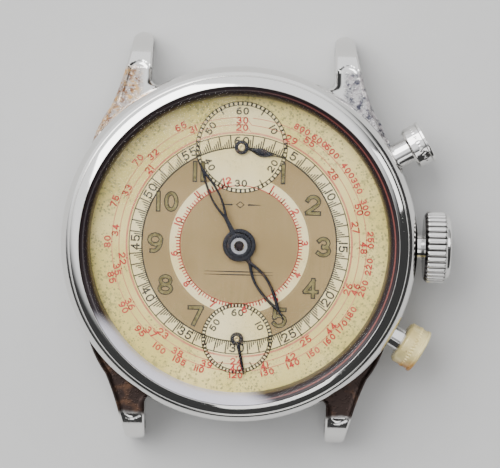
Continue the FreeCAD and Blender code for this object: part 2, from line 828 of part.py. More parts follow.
def make_screws():
    """Bridge screws, casing clamps' screws and the studs that the levers turn on."""
    low = number(size("bridge_low")) - 0.3
    plate = number(size("plate_low")) - 0.02
    places = BARREL_BRIDGE_POSTS + TRAIN_BRIDGE_POSTS + BALANCE_COCK_POSTS
    bridge_screws = [screw(x, y, low, plate, 0.5) for x, y, _ in places]
    studs = [screw(*START_LEVER, 1.5, plate, 0.75, 0.4), screw(*RESET_LEVER, 1.5, plate, 0.75, 0.4),
             screw(*SETTING_LEVER, 3.4, plate, 0.4, 0.22), screw(*CLICK, 2.0, 2.79, 0.6, 0.35)]
    seat = number(size("chronograph_low"))
    pillars = []
    for (x, y), top in zip(CHRONOGRAPH_PILLARS, ("bridge_low", "plate_low")):
        pillars.append(screw(x, y, seat - 0.3, seat + 0.32, 0.4, 0.22))
        pillars.append(cylinder(0.42, seat + 0.32, size(top), x, y))
    return [
        feature("bridge_screws", Part.makeCompound(bridge_screws)),
        feature("lever_studs", Part.makeCompound(studs)),
        feature("chronograph_pillars", Part.makeCompound(pillars)),
    ]


def make_jewels():
    """Jewel bearings pressed into the bridges and the main plate."""
    outer, bore = number(size("jewel_radius")), number(size("pivot_radius")) + 0.03
    thick = number(size("jewel_thickness"))
    bridge_low, plate_high = number(size("bridge_low")), number(size("plate_high"))
    rings = []
    for x, y in BRIDGE_PIVOTS:
        low = bridge_low + 0.1
        rings.append(cylinder(outer, low, low + thick, x, y).cut(cylinder(bore, 0, 9, x, y)))
    for x, y in [THIRD, ESCAPE, BALANCE, PALLETS]:
        low = plate_high - 0.6
        rings.append(cylinder(outer, low, low + thick, x, y).cut(cylinder(bore, 0, 9, x, y)))
    wide = 0.27
    for x, y in (FOURTH, COUNTER):
        low = plate_high - 0.6
        hole = number(size("jewel_radius")) + (0.05 if (x, y) == COUNTER else 0.0)
        rings.append(cylinder(hole, low, low + thick, x, y).cut(cylinder(wide, 0, 9, x, y)))
    low = bridge_low + 0.1
    rings.append(cylinder(outer, low, low + thick, *COUNTER).cut(cylinder(wide, 0, 9, *COUNTER)))
    return feature("jewels", Part.makeCompound(rings))


# ---------------------------------------------------------------- movement: wheels


def make_power():
    """Barrel drum and cover, its arbor and mainspring, the ratchet wheel, crown wheel and click."""
    drum = gear_blank(84, 0.13, 3.9, 4.2)
    drum = joined(drum, cylinder(5.1, 4.2, 5.1)).cut(cylinder(4.85, 4.1, 5.2)).cut(cylinder(0.74, 3, 6))
    cover = cylinder(4.82, 4.95, 5.09).cut(cylinder(0.74, 4, 6))
    core = arbor([(0.45, 5.0, 5.9), (0.7, 3.86, 5.0), (0.77, 2.8, 3.86)])
    core = joined(core, Part.makeBox(0.8, 0.8, 0.5, Vec(-0.4, -0.4, 2.31)))
    ratchet = gear_blank(32, 0.2, 2.35, 2.75)
    ratchet = ratchet.cut(Part.makeBox(0.84, 0.84, 2, Vec(-0.42, -0.42, 2)))
    phase = mesh_phase(32, 0.0, BARREL, 26, CROWN_WHEEL)
    crown_wheel = gear_blank(26, 0.2, 2.35, 2.75, phase)
    pipe = cylinder(0.46, 2.75, 3.6).cut(cylinder(0.3, 2, 4))
    crown_wheel = joined(crown_wheel.cut(cylinder(0.3, 2, 3)), pipe)
    click = flat_piece("click", 2.35, 0.35,
                       [[(0.35, 6.0), (1.6, 6.15), (1.78, 5.95), (1.95, 6.3), (1.5, 7.1), (0.5, 7.35, 0.1, 6.7)]],
                       holes=[(*CLICK, 0.38)])
    spring = spiral_spring(1.0, 4.5, 7, 0.14, 4.3, 4.9)
    return [
        feature("barrel", drum, *BARREL),
        feature("barrel_cover", cover, *BARREL),
        feature("barrel_arbor", core, *BARREL),
        feature("mainspring", spring, *BARREL),
        feature("ratchet_wheel", ratchet, *BARREL),
        feature("crown_wheel", crown_wheel, *CROWN_WHEEL),
        click,
    ]


def make_train():
    """Centre, third, fourth and escape wheels, each riveted to its pinion and arbor."""
    pivot = number(size("pivot_radius"))
    centre_phase = mesh_phase(84, 0.0, BARREL, 12, CENTRE)
    third_phase = mesh_phase(80, 0.0, CENTRE, 10, THIRD)
    fourth_phase = mesh_phase(75, 0.0, THIRD, 10, FOURTH)
    escape_phase = mesh_phase(70, 0.0, FOURTH, 7, ESCAPE)
    centre = joined(crossed_wheel(80, 0.12, 5.33, 5.53), gear_blank(12, 0.13, 3.85, 4.45, centre_phase),
                    arbor([(0.5, 2.75, 7.2), (0.62, 4.4, 5.35)]))
    centre = centre.cut(cylinder(0.38, 2, 8))
    third = joined(crossed_wheel(75, 0.11, 4.7, 4.88, 4), gear_blank(10, 0.12, 5.3, 5.7, third_phase),
                   arbor([(pivot, 2.85, 6.6), (0.3, 3.5, 6.0)]))
    fourth = joined(crossed_wheel(70, 0.1, 4.3, 4.46, 4), gear_blank(10, 0.11, 4.62, 5.05, fourth_phase),
                    arbor([(pivot, 2.85, 6.3), (0.25, 3.5, 7.3), (0.2, 7.2, 7.58)]))
    escape = joined(crossed_wheel(15, 0.24, 4.72, 4.88, 4), gear_blank(7, 0.1, 4.2, 4.6, escape_phase),
                    arbor([(pivot, 2.85, 6.6), (0.25, 3.5, 6.0)]))
    return [
        feature("centre_wheel", centre),
        feature("third_wheel", third, *THIRD),
        feature("fourth_wheel", fourth, *FOURTH),
        feature("escape_wheel", escape, *ESCAPE),
    ]


def make_escapement():
    """Pallet fork, balance wheel with its staff and roller, and the hairspring."""
    pivot = number(size("pivot_radius"))
    toward = math.atan2(BALANCE[1] - PALLETS[1], BALANCE[0] - PALLETS[0])
    arm = Part.makeBox(1.75, 0.3, 0.14, Vec(0, -0.15, 4.73))
    cross = Part.makeBox(0.32, 1.7, 0.14, Vec(-0.16, -0.85, 4.73))
    fork = joined(arm, cross, arbor([(pivot, 4.25, 6.6), (0.28, 4.65, 6.0)]))
    fork.rotate(Vec(), UP, math.degrees(toward))
    rim = cylinder(3.6, 3.9, 4.15).cut(cylinder(3.2, 3, 5))
    spokes = Part.makeBox(6.6, 0.36, 0.25, Vec(-3.3, -0.18, 3.9))
    roller = cylinder(0.7, 4.3, 4.45)
    impulse = cylinder(0.09, 4.4, 4.9, 0.52, 0)
    staff = arbor([(pivot, 2.85, 6.6), (0.3, 3.8, 6.0)])
    balance = joined(rim, spokes, roller, impulse, staff)
    balance.rotate(Vec(), UP, math.degrees(toward) + 180)
    hairspring = spiral_spring(0.42, 2.2, 5, 0.05, 3.74, 3.86)
    return [
        feature("pallet_fork", fork, *PALLETS),
        feature("balance_wheel", balance, *BALANCE),
        feature("hairspring", hairspring, *BALANCE),
    ]


def make_motion_works():
    """Cannon pinion, minute wheel and hour wheel under the dial, and the setting wheel."""
    fine, coarse = 3.84 / 25, 0.16
    leaves = gear_blank(12, coarse, 6.15, 6.42)
    cannon = joined(leaves, cylinder(0.76, 6.15, 6.5), cylinder(0.8, 6.42, 8.45))
    cannon = cannon.cut(cylinder(0.51, 6, 9))
    minute_phase = mesh_phase(12, 0.0, CENTRE, 36, MINUTE_WHEEL)
    minute = joined(gear_blank(36, coarse, 6.15, 6.4, minute_phase), gear_blank(10, fine, 6.4, 6.72),
                    cylinder(0.3, 6.4, 6.74)).cut(cylinder(0.2, 6, 7))
    hour_phase = mesh_phase(10, 0.0, MINUTE_WHEEL, 40, CENTRE)
    hour = joined(gear_blank(40, fine, 6.5, 6.72, hour_phase), cylinder(1.17, 6.5, 7.72))
    hour = hour.cut(cylinder(0.85, 6, 9))
    setting_phase = mesh_phase(36, minute_phase, MINUTE_WHEEL, 24, SETTING_WHEEL)
    setting = gear_blank(24, coarse, 6.15, 6.36, setting_phase).cut(cylinder(0.3, 6, 7))
    posts = [cylinder(0.17, 6.1, 6.76, *MINUTE_WHEEL), cylinder(0.27, 6.1, 6.45, *SETTING_WHEEL)]
    return [
        feature("cannon_pinion", cannon),
        feature("minute_wheel", minute, *MINUTE_WHEEL),
        feature("hour_wheel", hour),
        feature("setting_wheel", setting, *SETTING_WHEEL),
        feature("motion_posts", Part.makeCompound(posts)),
    ]


def make_keyless_works():
    """Winding pinion, sliding pinion and the setting lever that the stem's groove moves."""
    height = number(size("stem_height"))
    winding = gear_blank(20, 0.158, 0.0, 0.95).cut(cylinder(0.49, -1, 3))
    sliding = joined(gear_blank(14, 0.092, 0.0, 1.2), cylinder(0.66, 0.0, 1.2))
    half = 0.33
    sliding = sliding.cut(Part.makeBox(2 * half, 2 * half, 4, Vec(-half, -half, -1)))
    pieces = []
    for label, shape, start in (("winding_pinion", winding, 11.62), ("sliding_pinion", sliding, 10.0)):
        shape.rotate(Vec(), Vec(0, 1, 0), 90)
        shape.translate(Vec(start, 0, height))
        pieces.append(feature(label, shape))
    x, y = SETTING_LEVER
    body = new_body("setting_lever")
    anchor = [(x - 0.5, y - 0.3), (x, y - 0.65), (x + 0.5, y - 0.3), (x + 0.22, 0.2), (x - 0.22, 0.2)]
    pad(body, "plate", 0.2, [anchor])
    pad(body, "pin", 0.36, circles=[(x, 0.0, 0.14)])
    pocket(body, "bore", 1.0, circles=[(x, y, 0.25)])
    pieces.append(finished(body, 3.75))
    return pieces


def make_chronograph():
    """Chronograph wheel on its hollow arbor, counter wheel, column wheel, start lever and reset hammer."""
    low = number(size("chronograph_low")) + 0.02
    wheel = joined(crossed_wheel(84, 0.1, 1.5, 1.68), cylinder(0.9, 1.68, 1.82), cylinder(0.34, low, 8.05))
    wheel = wheel.cut(cylinder(0.2, 0, 9))
    counter = joined(crossed_wheel(60, 0.09, 1.5, 1.68, 4), cylinder(0.6, 1.68, 1.86),
                     arbor([(0.12, low, 1.5), (0.24, 1.4, 7.3), (0.2, 7.2, 7.58)]))
    column = gear_blank(16, 0.17, 1.25, 1.5, lean=0.14)
    pillars = []
    for index in range(6):
        angle = index * math.pi / 3
        pillars.append(cylinder(0.26, 1.5, 2.15, 0.72 * math.cos(angle), 0.72 * math.sin(angle)))
    column = joined(column, *pillars).cut(cylinder(0.26, 1, 3))
    column_post = joined(cylinder(0.23, 1.2, 2.8), cylinder(0.5, 1.0, 1.22))
    pieces = [
        feature("chronograph_wheel", wheel),
        feature("counter_wheel", counter, *COUNTER),
        feature("column_wheel", column, *COLUMN),
        feature("column_post", column_post, *COLUMN),
    ]
    for label, sign in (("operating_lever", 1), ("reset_hammer", -1)):
        x, y = START_LEVER if sign == 1 else RESET_LEVER
        arm_x, arm_y = (10.2, 6.2 * sign) if sign == 1 else (5.7, -1.2)
        body = new_body(label)
        pad(body, "plate", 0.3, [[(x + 0.65, y - 0.2 * sign), (12.15, 6.4 * sign), (11.6, 7.3 * sign),
                                  (11.0, 6.9 * sign), (x - 1.3, y + 1.4 * sign), (arm_x, arm_y),
                                  (arm_x, arm_y - 0.7 * sign), (x - 0.7, y - 0.6 * sign)]])
        tab = [(11.5, 6.1 * sign), (11.95, 6.35 * sign), (11.4, 7.25 * sign), (10.95, 7.0 * sign)]
        pad(body, "tab", 2.85, [tab])
        pocket(body, "bore", 1.0, circles=[(x, y, 0.44)])
        pieces.append(finished(body, 1.85))
    return pieces


# ---------------------------------------------------------------- build and export

mid_case_body, case_bores = make_mid_case()
movement_ring_body, ring_bores = make_movement_ring()
parts = [make_bezel(), make_crystal(), make_reflector_ring(), make_case_back()]
parts.append(bored("mid_case", mid_case_body, case_bores))
parts.append(bored("movement_ring", movement_ring_body, ring_bores))
parts += [make_crown(), make_crown_tube(), make_winding_stem()]
for name, sign in (("start", 1), ("reset", -1)):
    lengths = [size(f"{name}_{length}") for length in ("cap_radius", "neck_radius", "cap_inner")]
    parts += make_pusher(name, sign, *lengths)
parts += [make_dial(), *make_hands()]
parts += [make_main_plate(), *make_bridges(), *make_screws(), make_jewels()]
parts += make_power() + make_train() + make_escapement()
parts += make_motion_works() + make_keyless_works() + make_chronograph()

doc.recompute()
for item in doc.Objects:
    if "Invalid" in item.State or "Error" in item.State:
        raise RuntimeError(f"{item.Label} failed to recompute: {item.State}")
for part in parts:
    if part.Shape.isNull() or not part.Shape.isValid():
        raise RuntimeError(f"{part.Label} has no valid shape")

os.makedirs("parts", exist_ok=True)
for part in parts:
    part.Shape.exportStep(f"parts/{part.Label}.step")
    print(f"{part.Label}: {len(part.Shape.Solids)} solids, {part.Shape.Volume:.2f} mm3")
print(f"{len(parts)} sub-parts written")
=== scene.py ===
"""Looks of a two-register chronograph watch head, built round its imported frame.

Shapes are worked out in millimetres and written into the meshes in metres, in the frame's own axes:
+Z out of the dial, +Y to 12 o'clock, +X to the crown. Clock angles run clockwise from 12.
"""

import logging
import math
from dataclasses import dataclass, field
from enum import Enum
from typing import Iterable, Optional, Sequence

import bmesh
import bpy
import numpy as np
from mathutils import Matrix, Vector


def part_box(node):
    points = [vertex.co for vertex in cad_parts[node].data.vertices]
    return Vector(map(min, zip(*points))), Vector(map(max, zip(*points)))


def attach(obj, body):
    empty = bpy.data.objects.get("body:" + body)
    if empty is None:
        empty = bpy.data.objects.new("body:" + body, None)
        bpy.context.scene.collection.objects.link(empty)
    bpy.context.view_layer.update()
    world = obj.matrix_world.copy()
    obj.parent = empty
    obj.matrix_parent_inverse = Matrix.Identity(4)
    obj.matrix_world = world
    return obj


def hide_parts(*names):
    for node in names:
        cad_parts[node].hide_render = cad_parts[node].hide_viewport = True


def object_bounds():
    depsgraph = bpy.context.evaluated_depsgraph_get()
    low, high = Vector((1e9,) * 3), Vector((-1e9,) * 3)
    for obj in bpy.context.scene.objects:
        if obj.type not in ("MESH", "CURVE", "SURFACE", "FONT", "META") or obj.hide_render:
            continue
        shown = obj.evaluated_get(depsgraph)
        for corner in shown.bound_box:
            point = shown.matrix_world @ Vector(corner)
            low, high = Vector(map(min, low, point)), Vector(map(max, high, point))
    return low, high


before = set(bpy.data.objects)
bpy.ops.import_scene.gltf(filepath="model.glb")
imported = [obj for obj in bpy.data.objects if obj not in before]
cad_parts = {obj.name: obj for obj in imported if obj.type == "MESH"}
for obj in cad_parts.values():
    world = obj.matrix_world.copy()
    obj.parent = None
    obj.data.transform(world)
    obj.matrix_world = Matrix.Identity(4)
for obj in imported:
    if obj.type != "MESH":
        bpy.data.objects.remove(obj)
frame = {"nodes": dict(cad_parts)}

CAD_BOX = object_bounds()
MM = 0.001
TURN = 2 * math.pi
log = logging.getLogger("watch")
Colour = tuple[float, float, float]


def srgb(red: int, green: int, blue: int) -> Colour:
    """Linear colour of an 8-bit display colour.

    Args:
        red: Red, 0 to 255.
        green: Green, 0 to 255.
        blue: Blue, 0 to 255.

    Returns:
        The three linear components.
    """
    return tuple(round((value / 255) ** 2.2, 5) for value in (red, green, blue))


def node_low(node: str) -> float:
    """Height of a node's lowest point, in millimetres."""
    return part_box(node)[0].z / MM


def node_high(node: str) -> float:
    """Height of a node's highest point, in millimetres."""
    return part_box(node)[1].z / MM


# ---------------------------------------------------------------- surfaces as arrays


@dataclass
class Shell:
    """A surface as plain arrays: corner points in millimetres and faces of four corners."""

    points: np.ndarray
    quads: np.ndarray

    def moved(self, x: float = 0.0, y: float = 0.0, z: float = 0.0) -> "Shell":
        """The same surface shifted by x, y, z."""
        return Shell(self.points + np.array([x, y, z]), self.quads)

    def spun(self, angle: float) -> "Shell":
        """The same surface turned about Z by an angle in radians, anticlockwise from above."""
        c, s = math.cos(angle), math.sin(angle)
        matrix = np.array([[c, s, 0.0], [-s, c, 0.0], [0.0, 0.0, 1.0]])
        return Shell(self.points @ matrix, self.quads)

    def laid(self) -> "Shell":
        """The same surface with its Z axis laid along +X, and its X axis along +Y."""
        return Shell(self.points[:, [2, 0, 1]], self.quads)


def merged(shells: Iterable[Shell]) -> Shell:
    """Several surfaces as one."""
    points, quads, offset = [], [], 0
    for shell in shells:
        points.append(shell.points)
        quads.append(shell.quads + offset)
        offset += len(shell.points)
    return Shell(np.concatenate(points), np.concatenate(quads))


def grid(points: np.ndarray, wrap_rows: bool = False, wrap_columns: bool = True) -> Shell:
    """Faces over a grid of points: each face joins a point to its next row and its next column.

    Args:
        points: Array of rows x columns x 3.
        wrap_rows: Whether the last row joins the first.
        wrap_columns: Whether the last column joins the first.

    Returns:
        The surface.
    """
    rows, columns = points.shape[:2]
    i = np.arange(rows if wrap_rows else rows - 1)[:, None]
    j = np.arange(columns if wrap_columns else columns - 1)[None, :]
    corners = [((i + down) % rows) * columns + (j + along) % columns
               for down, along in ((0, 0), (0, 1), (1, 1), (1, 0))]
    return Shell(points.reshape(-1, 3), np.stack(corners, -1).reshape(-1, 4))


def lathe(profile: np.ndarray, closed: bool = True, steps: int = 240,
          relief: float | np.ndarray = 0.0) -> Shell:
    """A (radius, height) outline turned about Z: each point sweeps a circle of its own radius.

    Args:
        profile: Array of n x 2.
        closed: Whether the outline's last point joins its first.
        steps: Points round the circle.
        relief: What is added to the radius at each outline point and turn, as n x steps.

    Returns:
        The turned surface.
    """
    turn = np.arange(steps) * TURN / steps
    radius, height = profile[:, :1] + relief, profile[:, 1:]
    points = np.stack([radius * np.cos(turn), radius * np.sin(turn), height + 0 * turn], -1)
    return grid(points, wrap_rows=closed)


def rounded(corners: Sequence[tuple[float, ...]], closed: bool = True, steps: int = 6) -> np.ndarray:
    """An outline whose corners (x, y, radius) are rounded by arcs tangent to both sides.

    The arc's centre lies on the corner's bisector, at radius / sin(half the corner's angle).

    Args:
        corners: Corner points; one without a radius stays sharp.
        closed: Whether the outline closes; an open one keeps its two ends.
        steps: Points on each arc.

    Returns:
        Array of n x 2.
    """
    count, out = len(corners), []
    for index, corner in enumerate(corners):
        here = np.array(corner[:2], float)
        radius = corner[2] if len(corner) > 2 else 0.0
        if radius <= 0 or (not closed and index in (0, count - 1)):
            out.append(here[None])
            continue
        before = np.array(corners[index - 1][:2], float) - here
        after = np.array(corners[(index + 1) % count][:2], float) - here
        before, after = before / np.linalg.norm(before), after / np.linalg.norm(after)
        half = math.acos(float(np.clip(before @ after, -1, 1))) / 2
        bisector = (before + after) / np.linalg.norm(before + after)
        centre = here + bisector * radius / math.sin(half)
        start = here + before * radius / math.tan(half) - centre
        end = here + after * radius / math.tan(half) - centre
        first = math.atan2(start[1], start[0])
        sweep = (math.atan2(end[1], end[0]) - first + math.pi) % TURN - math.pi
        angles = first + sweep * np.linspace(0, 1, steps)
        out.append(centre + radius * np.stack([np.cos(angles), np.sin(angles)], -1))
    return np.concatenate(out)


def ring(inner: float, outer: float, low: float, high: float, steps: int = 240) -> Shell:
    """A flat ring, or a disc when inner is 0, with square edges."""
    return lathe(np.array([[inner, low], [outer, low], [outer, high], [inner, high]]), inner > 0, steps)


def ribbon(path: np.ndarray, width: float | np.ndarray, low: float, high: float, closed: bool = False,
           extend: float = 0.0, bevel: float = 0.0) -> Shell:
    """A strip along a path in the XY plane, as a closed bar.

    Each point is moved left and right along the path's normal by half the width there.

    Args:
        path: Array of n x 2.
        width: Width of the strip, one value or one for each point.
        low: Height of its underside.
        high: Height of its top.
        closed: Whether the path's last point joins its first.
        extend: How far the two ends of an open path are drawn out.
        bevel: Share of the half width and of the height that the top edges lose.

    Returns:
        The bar's surface.
    """
    path = np.array(path, float)
    if closed:
        along = np.roll(path, -1, 0) - np.roll(path, 1, 0)
    else:
        if extend:
            for end, inside in ((0, 1), (-1, -2)):
                away = path[end] - path[inside]
                path[end] = path[end] + away / np.linalg.norm(away) * extend
        along = np.gradient(path, axis=0)
    along = along / np.linalg.norm(along, axis=1, keepdims=True)
    side = np.stack([-along[:, 1], along[:, 0]], -1) * np.reshape(width, (-1, 1)) / 2
    shoulder = high - bevel * (high - low)
    section = [(1, low), (-1, low), (-1, shoulder), (bevel - 1, high), (1 - bevel, high), (1, shoulder)]
    if not bevel:
        section = [(1, low), (-1, low), (-1, high), (1, high)]
    points = np.stack([np.column_stack([path + across * side, np.full(len(path), level)])
                       for across, level in section], 1)
    shell = grid(points, wrap_rows=closed)
    if not closed:
        last = (len(path) - 1) * len(section)
        for i in range(1, len(section) - 1, 2):
            fan = np.array([0, i, i + 1, (i + 2) % len(section)])
            shell.quads = np.concatenate([shell.quads, fan[None, ::-1], fan[None] + last])
    return shell


def ticks(angles: np.ndarray, inner: np.ndarray, outer: np.ndarray, width: float, low: float,
          high: float) -> Shell:
    """Radial bars at clock angles in degrees, all worked out at once as eight-cornered boxes.

    Args:
        angles: Clock angle of each bar, in degrees.
        inner: Inner radius of each bar, or of all.
        outer: Outer radius of each bar, or of all.
        width: Width of every bar.
        low: Height of the underside.
        high: Height of the top.

    Returns:
        All bars as one surface.
    """
    angles = np.radians(np.asarray(angles, float))
    inner, outer = np.broadcast_to(inner, angles.shape), np.broadcast_to(outer, angles.shape)
    out = np.stack([np.sin(angles), np.cos(angles)], -1)
    side = np.stack([np.cos(angles), -np.sin(angles)], -1) * width / 2
    near, far = out * inner[:, None], out * outer[:, None]
    flat = np.stack([near - side, near + side, far + side, far - side], 1)
    floor = np.concatenate([flat, np.full(flat.shape[:2] + (1,), low)], -1)
    roof = np.concatenate([flat, np.full(flat.shape[:2] + (1,), high)], -1)
    points = np.concatenate([floor, roof], 1).reshape(-1, 3)
    box = np.array([[0, 1, 2, 3], [4, 7, 6, 5], [0, 4, 5, 1], [1, 5, 6, 2], [2, 6, 7, 3], [3, 7, 4, 0]])
    quads = (box[None] + (np.arange(len(angles)) * 8)[:, None, None]).reshape(-1, 4)
    return Shell(points, quads)


def as_object(name: str, shell: Shell) -> bpy.types.Object:
    """A welded, outward-facing mesh object made from a surface in millimetres."""
    mesh = bpy.data.meshes.new(name)
    mesh.from_pydata((shell.points * MM).tolist(), [], shell.quads.tolist())
    work = bmesh.new()
    work.from_mesh(mesh)
    bmesh.ops.remove_doubles(work, verts=work.verts, dist=1e-7)
    bmesh.ops.dissolve_degenerate(work, edges=work.edges, dist=1e-8)
    bmesh.ops.recalc_face_normals(work, faces=work.faces)
    work.to_mesh(mesh)
    work.free()
    obj = bpy.data.objects.new(name, mesh)
    bpy.context.scene.collection.objects.link(obj)
    return obj


def cut(obj: bpy.types.Object, tool_shell: Shell) -> None:
    """Take a closed shape away from an object for good."""
    tool = as_object("cutter", tool_shell)
    modifier = obj.modifiers.new("cut", "BOOLEAN")
    modifier.operation, modifier.solver, modifier.object = "DIFFERENCE", "EXACT", tool
    bpy.context.view_layer.update()
    result = bpy.data.meshes.new_from_object(obj.evaluated_get(bpy.context.evaluated_depsgraph_get()))
    obj.modifiers.clear()
    obj.data = result
    bpy.data.objects.remove(tool)


def piece(name: str, shell: Shell, shade: "Shade", body: str, replaces: Sequence[str] = (),
          cutter: Optional[Shell] = None, crease: float = 35.0) -> bpy.types.Object:
    """Turn a surface into a finished object that rides on a body.

    Args:
        name: Name of the piece.
        shell: Its surface in millimetres.
        shade: Its finish.
        body: Body it rides on.
        replaces: CAD nodes that it stands for.
        cutter: A closed shape taken away from it.
        crease: Angle in degrees above which an edge stays sharp.

    Returns:
        The object.
    """
    obj = as_object(name, shell)
    if cutter:
        cut(obj, cutter)
    mesh = obj.data
    mesh.polygons.foreach_set("use_smooth", [True] * len(mesh.polygons))
    mesh.set_sharp_from_angle(angle=math.radians(crease))
    mesh.materials.append(shade.value.material())
    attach(obj, body)
    if replaces:
        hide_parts(*replaces)
    log.info("%s: %d faces", name, len(mesh.polygons))
    return obj


# ---------------------------------------------------------------- finishes


class Board:
    """A material's node tree with a Principled shader, and short ways to add nodes to it."""

    def __init__(self, name: str) -> None:
        """Start a material of that name."""
        self.material = bpy.data.materials.new(name)
        self.material.use_nodes = True
        self.tree = self.material.node_tree
        self.shader = self.tree.nodes["Principled BSDF"]
        self.place = self.tree.nodes.new("ShaderNodeTexCoord").outputs["Object"]

    def put(self, node: bpy.types.Node, socket: object, value: object) -> None:
        """Set or link one input of a node."""
        target = node.inputs[socket]
        if isinstance(value, bpy.types.NodeSocket):
            self.tree.links.new(value, target)
        elif isinstance(value, tuple) and len(value) == 3 and target.type == "RGBA":
            target.default_value = (*value, 1.0)
        else:
            target.default_value = value

    def add(self, kind: str, values: dict, **settings: object) -> bpy.types.Node:
        """Add a node.

        Args:
            kind: Node type, without its ShaderNode prefix.
            values: Input name or index to a value or a socket.
            **settings: Properties of the node itself.

        Returns:
            The node.
        """
        node = self.tree.nodes.new("ShaderNode" + kind)
        for key, value in settings.items():
            setattr(node, key, value)
        for socket, value in values.items():
            self.put(node, socket, value)
        return node

    def set(self, **values: object) -> None:
        """Set or link the shader's inputs; an underscore in a name stands for a space."""
        for socket, value in values.items():
            self.put(self.shader, socket.replace("_", " "), value)

    def noise(self, scale: float, detail: float = 3.0, stretch: Optional[Colour] = None,
              rough: float = 0.5) -> bpy.types.NodeSocket:
        """Noise on Object coordinates, stretched by three factors if given; features are 1/scale m."""
        where = self.place
        if stretch:
            where = self.add("Mapping", {"Vector": self.place, "Scale": stretch}).outputs[0]
        values = {"Vector": where, "Scale": scale, "Detail": detail, "Roughness": rough}
        return self.add("TexNoise", values).outputs[0]

    def cells(self, scale: float) -> bpy.types.NodeSocket:
        """Distance to the nearest of scattered points, for specks and pits."""
        return self.add("TexVoronoi", {"Vector": self.place, "Scale": scale}).outputs["Distance"]

    def between(self, value: bpy.types.NodeSocket, low: float, high: float, first: float = 0.0,
                last: float = 1.0) -> bpy.types.NodeSocket:
        """Map a value from low..high to first..last, clamped and eased."""
        values = {0: value, 1: low, 2: high, 3: first, 4: last}
        return self.add("MapRange", values, interpolation_type="SMOOTHSTEP").outputs[0]

    def maths(self, kind: str, a: object, b: object) -> bpy.types.NodeSocket:
        """One arithmetic step."""
        return self.add("Math", {0: a, 1: b}, operation=kind).outputs[0]

    def blend(self, factor: bpy.types.NodeSocket, a: object, b: object) -> bpy.types.NodeSocket:
        """Colour between a and b by a factor; 6 and 7 are the mix node's two colours."""
        return self.add("Mix", {0: factor, 6: a, 7: b}, data_type="RGBA").outputs[2]

    def radius(self) -> bpy.types.NodeSocket:
        """Distance from the dial's axis, in metres."""
        flat = self.add("VectorMath", {0: self.place, 1: (1.0, 1.0, 0.0)}, operation="MULTIPLY").outputs[0]
        return self.add("VectorMath", {0: flat}, operation="LENGTH").outputs["Value"]

    def bump(self, height: bpy.types.NodeSocket, depth_mm: float, strength: float = 1.0,
             under: Optional[bpy.types.NodeSocket] = None) -> bpy.types.NodeSocket:
        """Normal bent by a height between 0 and 1 that stands for a depth in millimetres."""
        values = {"Height": height, "Distance": depth_mm * MM, "Strength": strength}
        if under:
            values["Normal"] = under
        return self.add("Bump", values).outputs[0]


@dataclass(frozen=True)
class Finish:
    """A surface finish; its material is made once and shared."""

    name: str

    def material(self) -> bpy.types.Material:
        """The finish's material, made on first use."""
        label = "finish_" + self.name
        known = bpy.data.materials.get(label)
        if known:
            return known
        board = Board(label)
        self.dress(board)
        return board.material

    def dress(self, board: Board) -> None:
        """Fill the board's node tree."""
        raise NotImplementedError


@dataclass(frozen=True)
class PolishedMetal(Finish):
    """Polished metal with hairline scratches and handling haze."""

    colour: Colour = (0.80, 0.79, 0.77)
    roughness: float = 0.07
    haze: float = 0.10
    scratch_mm: float = 0.0012

    def dress(self, board: Board) -> None:
        """Hazy patches raise the roughness; two crossed stretched noises make the scratches."""
        patches = board.noise(160, 4)
        fine = board.noise(900, 2, (1.0, 14.0, 3.0))
        across = board.noise(700, 2, (16.0, 1.0, 2.0))
        scratches = board.maths("ADD", board.between(fine, 0.62, 0.72), board.between(across, 0.64, 0.74))
        rough = board.between(patches, 0.35, 0.75, self.roughness, self.roughness + self.haze)
        board.set(Base_Color=self.colour, Metallic=1.0,
                  Roughness=board.maths("ADD", rough, board.maths("MULTIPLY", scratches, 0.05)),
                  Normal=board.bump(scratches, self.scratch_mm, 0.5))


@dataclass(frozen=True)
class FlutedSteel(PolishedMetal):
    """Polished steel with painted shade in the flutes of a crown whose axis lies along X."""

    axis_height: float = 4.45
    # Radii from the crown's axis over which the painted shade in the flutes fades out.
    clean: float = 3.50
    deep: float = 3.34

    def dress(self, board: Board) -> None:
        """Painted shade sits below a distance from the crown's axis and thins out towards the ridges."""
        super().dress(board)
        offset = board.add("VectorMath", {0: board.place, 1: (0.0, 0.0, self.axis_height * MM)},
                           operation="SUBTRACT").outputs[0]
        across = board.add("VectorMath", {0: offset, 1: (0.0, 1.0, 1.0)}, operation="MULTIPLY").outputs[0]
        away = board.add("VectorMath", {0: across}, operation="LENGTH").outputs["Value"]
        along = board.add("SeparateXYZ", {0: board.place}).outputs["X"]
        side = board.between(along, 20.25 * MM, 20.40 * MM)
        clean = board.maths("MAXIMUM", board.between(away, self.deep * MM, self.clean * MM), side)
        # The near black blended in by the flutes is painted shade.
        board.set(Base_Color=board.blend(clean, (0.05, 0.045, 0.045), self.colour))


